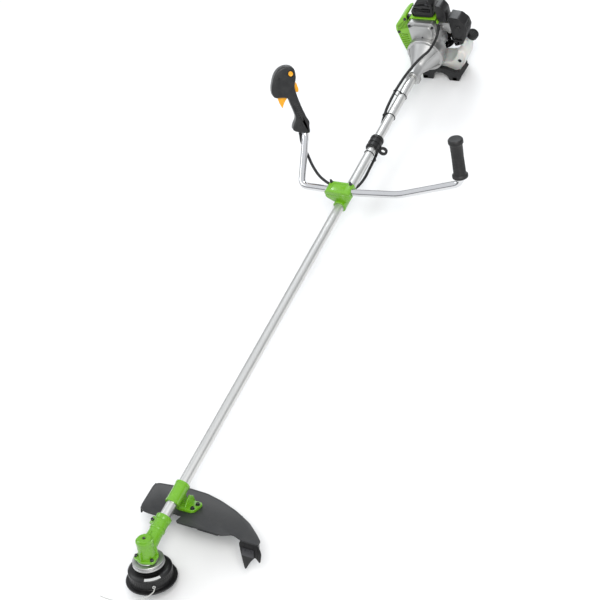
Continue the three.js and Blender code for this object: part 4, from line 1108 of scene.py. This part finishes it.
# %% Clutch casting
nose = moved(
    turned(
        [
            (SHAFT_ROOM, 0), (20.2, 0), (21, 0.8), (21, 7.2), (20.2, 8), (19, 8.6), (19, 40), (21, 43.4),
            (30, 62), (40, 82), (47, 94.6), (50.5, 96), (53, 96.4), (54, 97.6), (54, 132.6), (53.2, 134),
            (50, 134), (50, 104), (36, 104), (36, 79), (10, 79), (10, 41), (SHAFT_ROOM, 40.3),
        ],
        96,
    ),
    ALONG_SHAFT,
)
shoulder = plate_along_y(
    [
        (-41, 20), (41, 20), (41, 92), (39.5, 94.6), (34.6, 100), (33, 101), (-33, 101), (-34.6, 100),
        (-39.5, 94.6), (-41, 92),
    ],
    118, 134, 1.4, 4,
)
step = plate_along_y(
    smoothed([(-30, 46), (30, 46), (34, 84), (24, 92), (-24, 92), (-34, 84)], 2, 0.15), 111.5, 118.6, 1.6,
    4,
)
ears = carved(gathered(block((-12, 10, -27.8), (12, 30, -12), 1.4, 4)),
              block((-1, 4, -40), (1, 36, -10), 0), bar(SHAFT_ROOM, (0, -4, 0), (0, 60, 0), 0, 64))
wings = [
    moved(
        plate([(47.6, 94), (51.6, 97), (22, 47), (20, 45)], -1.3, 1.3, 0.7, 3),
        Matrix.Rotation(math.radians(a), 4, "Y"),
    )
    for a in (35, -25, -155)
]
piece("clutch_casting", [nose, shoulder, step, ears, *wings], ENGINE, "machine", "cast_alloy",
      ["clutch_housing"])
shoulder_screws = [bolt((x, 118, z), (0, -1, 0), 1.9) for x, z in ((-35, 30), (35, 30), (-36, 88), (36, 88))]
nose_screw = bolt((-12, 20, -21), (-1, 0, 0), 2.3)
piece(
    "casting_screws", [*shoulder_screws, nose_screw, bolt((0, 114, 53.6), (0, 0, 1), 1.9)], ENGINE,
    "machine", "dark_steel",
)

# %% [markdown]
# ## Covers
# Bright green mouldings guard the hot side: a deep exhaust cover with slots that let air past the
# silencer, and a strip across the cylinder. A black boot sits over the spark plug, and a black
# cowl and a filter box close the carburettor's side.

# %% Exhaust cover
near, far = 134, 190
skin = plate_along_y(
    [
        (-48, 112), (-58, 107.5), (-66, 101), (-78, 87.5), (-88, 75), (-91.4, 69), (-92.8, 62), (-93, 52),
        (-89.6, 29), (-86, 6), (-82, -12.4), (-78, -28), (-74.6, -34), (-67, -39), (-60, -40.4), (-48, -41),
    ],
    near, far, 0,
)
edge = [e for e in skin.edges if abs(e.verts[0].co.y - near) < 1e-4 and abs(e.verts[1].co.y - near) < 1e-4
        and min(e.verts[0].co.x, e.verts[1].co.x) < -48.5]
bmesh.ops.bevel(
    skin, geom=edge, offset=3.2, segments=5, profile=0.5, affect="EDGES", material=-1, clamp_overlap=True,
)
room = plate_along_y(
    [
        (-30, 109), (-58, 103), (-64.6, 98), (-86.6, 72), (-90.4, 52), (-83.6, 6.6), (-75.8, -26.8),
        (-66, -36.6), (-30, -38.4),
    ],
    near + 2.5, far + 9, 0,
)
vents = [
    block((-84 + 4.6 * i, near - 5, 56 + 1.5 * i), (-81.8 + 4.6 * i, near + 9, 74 + 3.4 * i), 0.9, 3)
    for i in range(8)
]
rows = [
    block((-83 + 0.5 * (5 - i), near - 5, -27 + 7.4 * i), (-58, near + 9, -23.6 + 7.4 * i), 1.3, 3)
    for i in range(10)
]
side = [block((-99, 146 + 9 * i, 16), (-80, 150 + 9 * i, 64), 1.4, 3) for i in range(4)]
piece(
    "exhaust_cover", [carved(skin, room, *vents, *rows, *side)], ENGINE, "machine", "green_plastic",
    ["muffler_cover"],
)
piece(
    "exhaust_cover_screws",
    [bolt((x, near + 0.2, z), (0, -1, 0), 2.0) for x, z in ((-54, 98), (-53, -32), (-84, 50))], ENGINE,
    "machine", "dark_steel",
)

# %% Cylinder strip and plug boot
strip = plate_along_y(
    [
        (-46, 62), (-46, 92.6), (-45, 95.2), (-40, 101.6), (-37.4, 103.5), (-36, 103.7), (36, 103.7),
        (37.4, 103.5), (40, 101.6), (45, 95.2), (46, 92.6), (46, 62),
    ],
    135, 190, 1.1, 4,
)
cuts = [block((-43, 131, 50), (43, 187.5, 101), 0), block((-60, 125, 60), (-30, 199, 80), 0.4),
        block((30, 125, 60), (60, 199, 88), 0.4), bar(12, (0, 162, 96), (0, 162, 110), 0, 48)]
cuts += [block((-30 + 4 * i, 136, 102.9), (-28.4 + 4 * i, 139, 106), 0) for i in range(16)]
piece("cylinder_strip", [carved(strip, *cuts)], ENGINE, "machine", "green_plastic", ["engine_cover"])
boot_line = smoothed([(-30, 104), (34, 104), (40, 150), (30, 167), (-6, 161), (-32, 124)], 2, 0.12)
boot = pillowed(boot_line, 182, 138, 4.5)
well = bar(9.6, (0, 162, 100), (0, 162, 127), 0, 40)
lines = [block((-20, 137, 112 + 7 * i), (30, 138.7, 113.4 + 7 * i), 0.3) for i in range(6)]
piece("plug_cowl", [carved(boot, well, *lines)], ENGINE, "machine", "black_plastic", ["plug_boot"])
piece("plug_cowl_screw", [bolt((26, 138.4, 154), (0, -1, 0), 2.0)], ENGINE, "machine", "dark_steel")

# %% Carburettor side
cowl = plate_along_y(
    smoothed([(46.3, 92), (74, 92), (75, 130), (66, 147), (46.3, 150)], 2, 0.14), 138, 172, 2.0, 5,
)
room = plate_along_y([(49, 95), (71, 95), (72, 129), (64, 144), (49, 147)], 141, 173, 0)
piece("carburettor_cowl", [carved(cowl, room)], ENGINE, "machine", "black_plastic", ["intake_cover"])
box_line = smoothed([(80, 113), (112, 109), (128, 92), (131, 70), (122, 45), (106, 17), (80, 8)], 2, 0.08)
shell = pillowed(box_line[::-1], 172, 136, 2.4)
louvres = [block((118, 141 + 5 * i, 60), (140, 143.4 + 5 * i, 88), 0.5) for i in range(5)]
hollow = plate_along_y(
    [(70, 110), (110.6, 106.4), (125.4, 91), (128, 70), (119.6, 46), (104.4, 19.2), (70, 11)], 138.5, 169.5,
    0,
)
piece("filter_box", [carved(shell, hollow, *louvres, bar(3.3, (90, 130, 32), (90, 172, 32), 0, 32))],
      ENGINE, "machine", "black_plastic", ["air_filter_cover"])
piece("filter_knob", [moved(turned([(0, 0), (8, 0), (8, 2.2), (7, 3.4), (3, 3.8), (0, 3.8)], 40),
                            along((104, 136.6, 76), (104, 130, 76)))],
      ENGINE, "machine", "black_plastic")
lever = gathered(
    bar(3, (90, 134.4, 32), (90, 167, 32), 0.3, 32), bar(5.4, (90, 132.2, 32), (90, 135.7, 32), 0.5, 40),
    block((88, 132.2, 29.6), (107.6, 135.6, 34.4), 1.2, 4),
)
piece("choke_tab", [lever], ENGINE, "choke", "black_plastic", ["choke_lever"])
carb = gathered(
    block((46.3, 148, 50), (76, 176, 82), 1.6, 4), bar(9, (61, 162, 44.2), (61, 162, 52), 0.4, 40),
    bar(4, (52, 148.6, 66), (52, 146, 66), 0.4, 24),
)
piece(
    "carburettor_body",
    [
        carved(
            carb, bar(7, (40, 162, 66), (80, 162, 66), 0, 40),
            bar(7.6, (61, 162, 40), (61, 162, 50), 0, 40),
        ),
    ],
    ENGINE, "machine", "cast_alloy", ["carburetor"],
)

# %% [markdown]
# ## Fuel tank and stand
# The tank is blow-moulded in milky plastic, so its walls are rounded everywhere and a moulding seam
# runs round its middle. A coarse black cap closes its neck. The stand is a black moulding with two
# skids, and the whole machine rests on them.

# %% Tank and cap
tank_line = smoothed(
    [
        (-46, -90), (60, -90), (80, -82), (95, -58), (106, -30), (104, -12), (96, -6), (84, -8), (74, -32),
        (50, -58), (-46, -58),
    ],
    2, 0.2,
)
tank = gathered(pillowed(tank_line, 168.5, 135, 6), pillowed(tank_line, 168.5, 202, 6))
neck = turned([(9, 0), (12, 0), (12, 10), (11.4, 11), (11.4, 24.9), (9, 24.9)], 48)
piece("tank", [tank, moved(neck, along((94, 190, -18), (109, 190, 2)))], ENGINE, "machine", "white_tank",
      ["fuel_tank"])
piece(
    "tank_grommet",
    [
        moved(
            turned([(0, 0), (5.4, 0), (5.4, 1.2), (4, 2.2), (2.4, 2.2), (2.4, 4), (0, 4)], 32),
            along((84, 135.4, -44), (84, 130, -44)),
        ),
    ],
    ENGINE, "machine", "black_plastic",
)
cap = turned(
    [
        (0, 0.2), (14.6, 0.2), (15.6, 1.2), (15.6, 14.4), (14.4, 16.2), (12, 16.9), (9.6, 16.9), (9, 15.8),
        (0, 15.8),
    ],
    64,
)
knurl = around(20, block((14.8, -1.1, 1.6), (15.9, 1.1, 14.6), 0.45), 0)
grab = block((-8.6, -1.8, 15.4), (8.6, 1.8, 16.9), 0.6)
piece(
    "tank_lid", [moved(gathered(cap, knurl, grab), along((109.3, 190, 2.4), (124.3, 190, 22.4)))], ENGINE,
    "tank_cap", "black_plastic", ["fuel_cap"],
)

# %% Stand
FLOOR = -1000 * APEX.z
stand_line = [
    (-38, FLOOR), (-6, FLOOR), (-2, -90), (10, -78), (30, -78), (42, -90), (46, FLOOR), (76, FLOOR),
    (84, -92), (116, -46), (108, -38), (84, -68), (70, -73), (42, -62), (14, -60), (14, -54.3),
    (-14, -54.3), (-14, -60), (-30, -62), (-36, -78),
]
web = plate_along_y(stand_line, 115, 127, 1.3, 4)
feet = [block((x, 115, FLOOR), (x + 16, 195, FLOOR + 14), 1.6, 4) for x in (-36, 56)]
cross = block((-36, 185, FLOOR + 3), (72, 195, FLOOR + 14), 1.4, 4)
piece("stand_moulding", [web, *feet, cross], ENGINE, "machine", "black_plastic", ["stand"])

# %% [markdown]
# ## The starter
# The recoil starter closes the engine's far end. Its cup is ringed with air slots, because the
# flywheel behind it is also the fan, and the cord runs out of an eye to a T handle.

# %% Starter cup, handle and rope
cup = moved(
    turned(
        [
            (0, 229), (37, 229), (40, 228), (54.4, 218.4), (56, 216), (56, 192), (55.2, 191), (53.5, 191),
            (53.5, 216), (39, 226.5), (0, 226.5),
        ],
        96,
    ),
    ALONG_SHAFT,
)
slots = around(18, block((-1.5, 218, 42), (1.5, 224.5, 60), 0), 10, "Y")
ring_slots = around(24, block((-1.6, 196, 50), (1.6, 210, 60), 0), 7.5, "Y")
eye = bar(3, (30, 207, 40), (42, 207, 56), 0, 32)
piece("starter_cup", [carved(cup, slots, ring_slots, eye)], ENGINE, "machine", "black_plastic",
      ["starter_cover"])
piece(
    "starter_badge", [moved(turned([(30, 228.9), (31, 228.9), (31, 229), (30, 229)], 72), ALONG_SHAFT)],
    ENGINE, "machine", "black_plastic",
)
handle = gathered(
    bar(3.6, (34.4, 207, 45.8), (40.2, 207, 53.6), 0.4, 32),
    moved(
        turned(
            [
                (0, 189.2), (4, 189.4), (4.9, 190.6), (5, 193), (4.5, 199), (4.6, 207), (4.5, 215),
                (5, 221), (4.9, 223.6), (4, 224.8), (0, 225),
            ],
            40,
        ),
        Matrix.Translation((39.6, 0, 52.8)) @ ALONG_SHAFT,
    ),
)
piece("starter_grip", [handle], ENGINE, "starter", "black_plastic", ["starter_handle"])
rope_ends = ((28.8, 207, 38.4), (34.6, 207, 46.1))
rope = piece("starter_rope", [swept(flowing(rope_ends, 0.5), 1.3, 16)], ENGINE, None, "black_plastic")
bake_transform(rope)

# %% [markdown]
# ## What shows through the gaps
# The silencer, the cylinder's fins and the crankcase are seen only through slots and between
# covers. They keep the frame's own shapes and take the finishes of their material slots, as do the
# gears, the clutch and the crank train inside.

# %% Finishes for the frame's own parts
worn = 0
for node_name in nodes:
    node = bpy.data.objects.get(node_name)
    if node is None or node.type != "MESH":
        continue
    for slot in node.material_slots:
        name = slot.material.name if slot.material else ""
        match = next((key for key in SLOTS if name.startswith(key)), None)
        if match:
            slot.material = SLOTS[match]
            worn += 1
print("finished slots", worn)
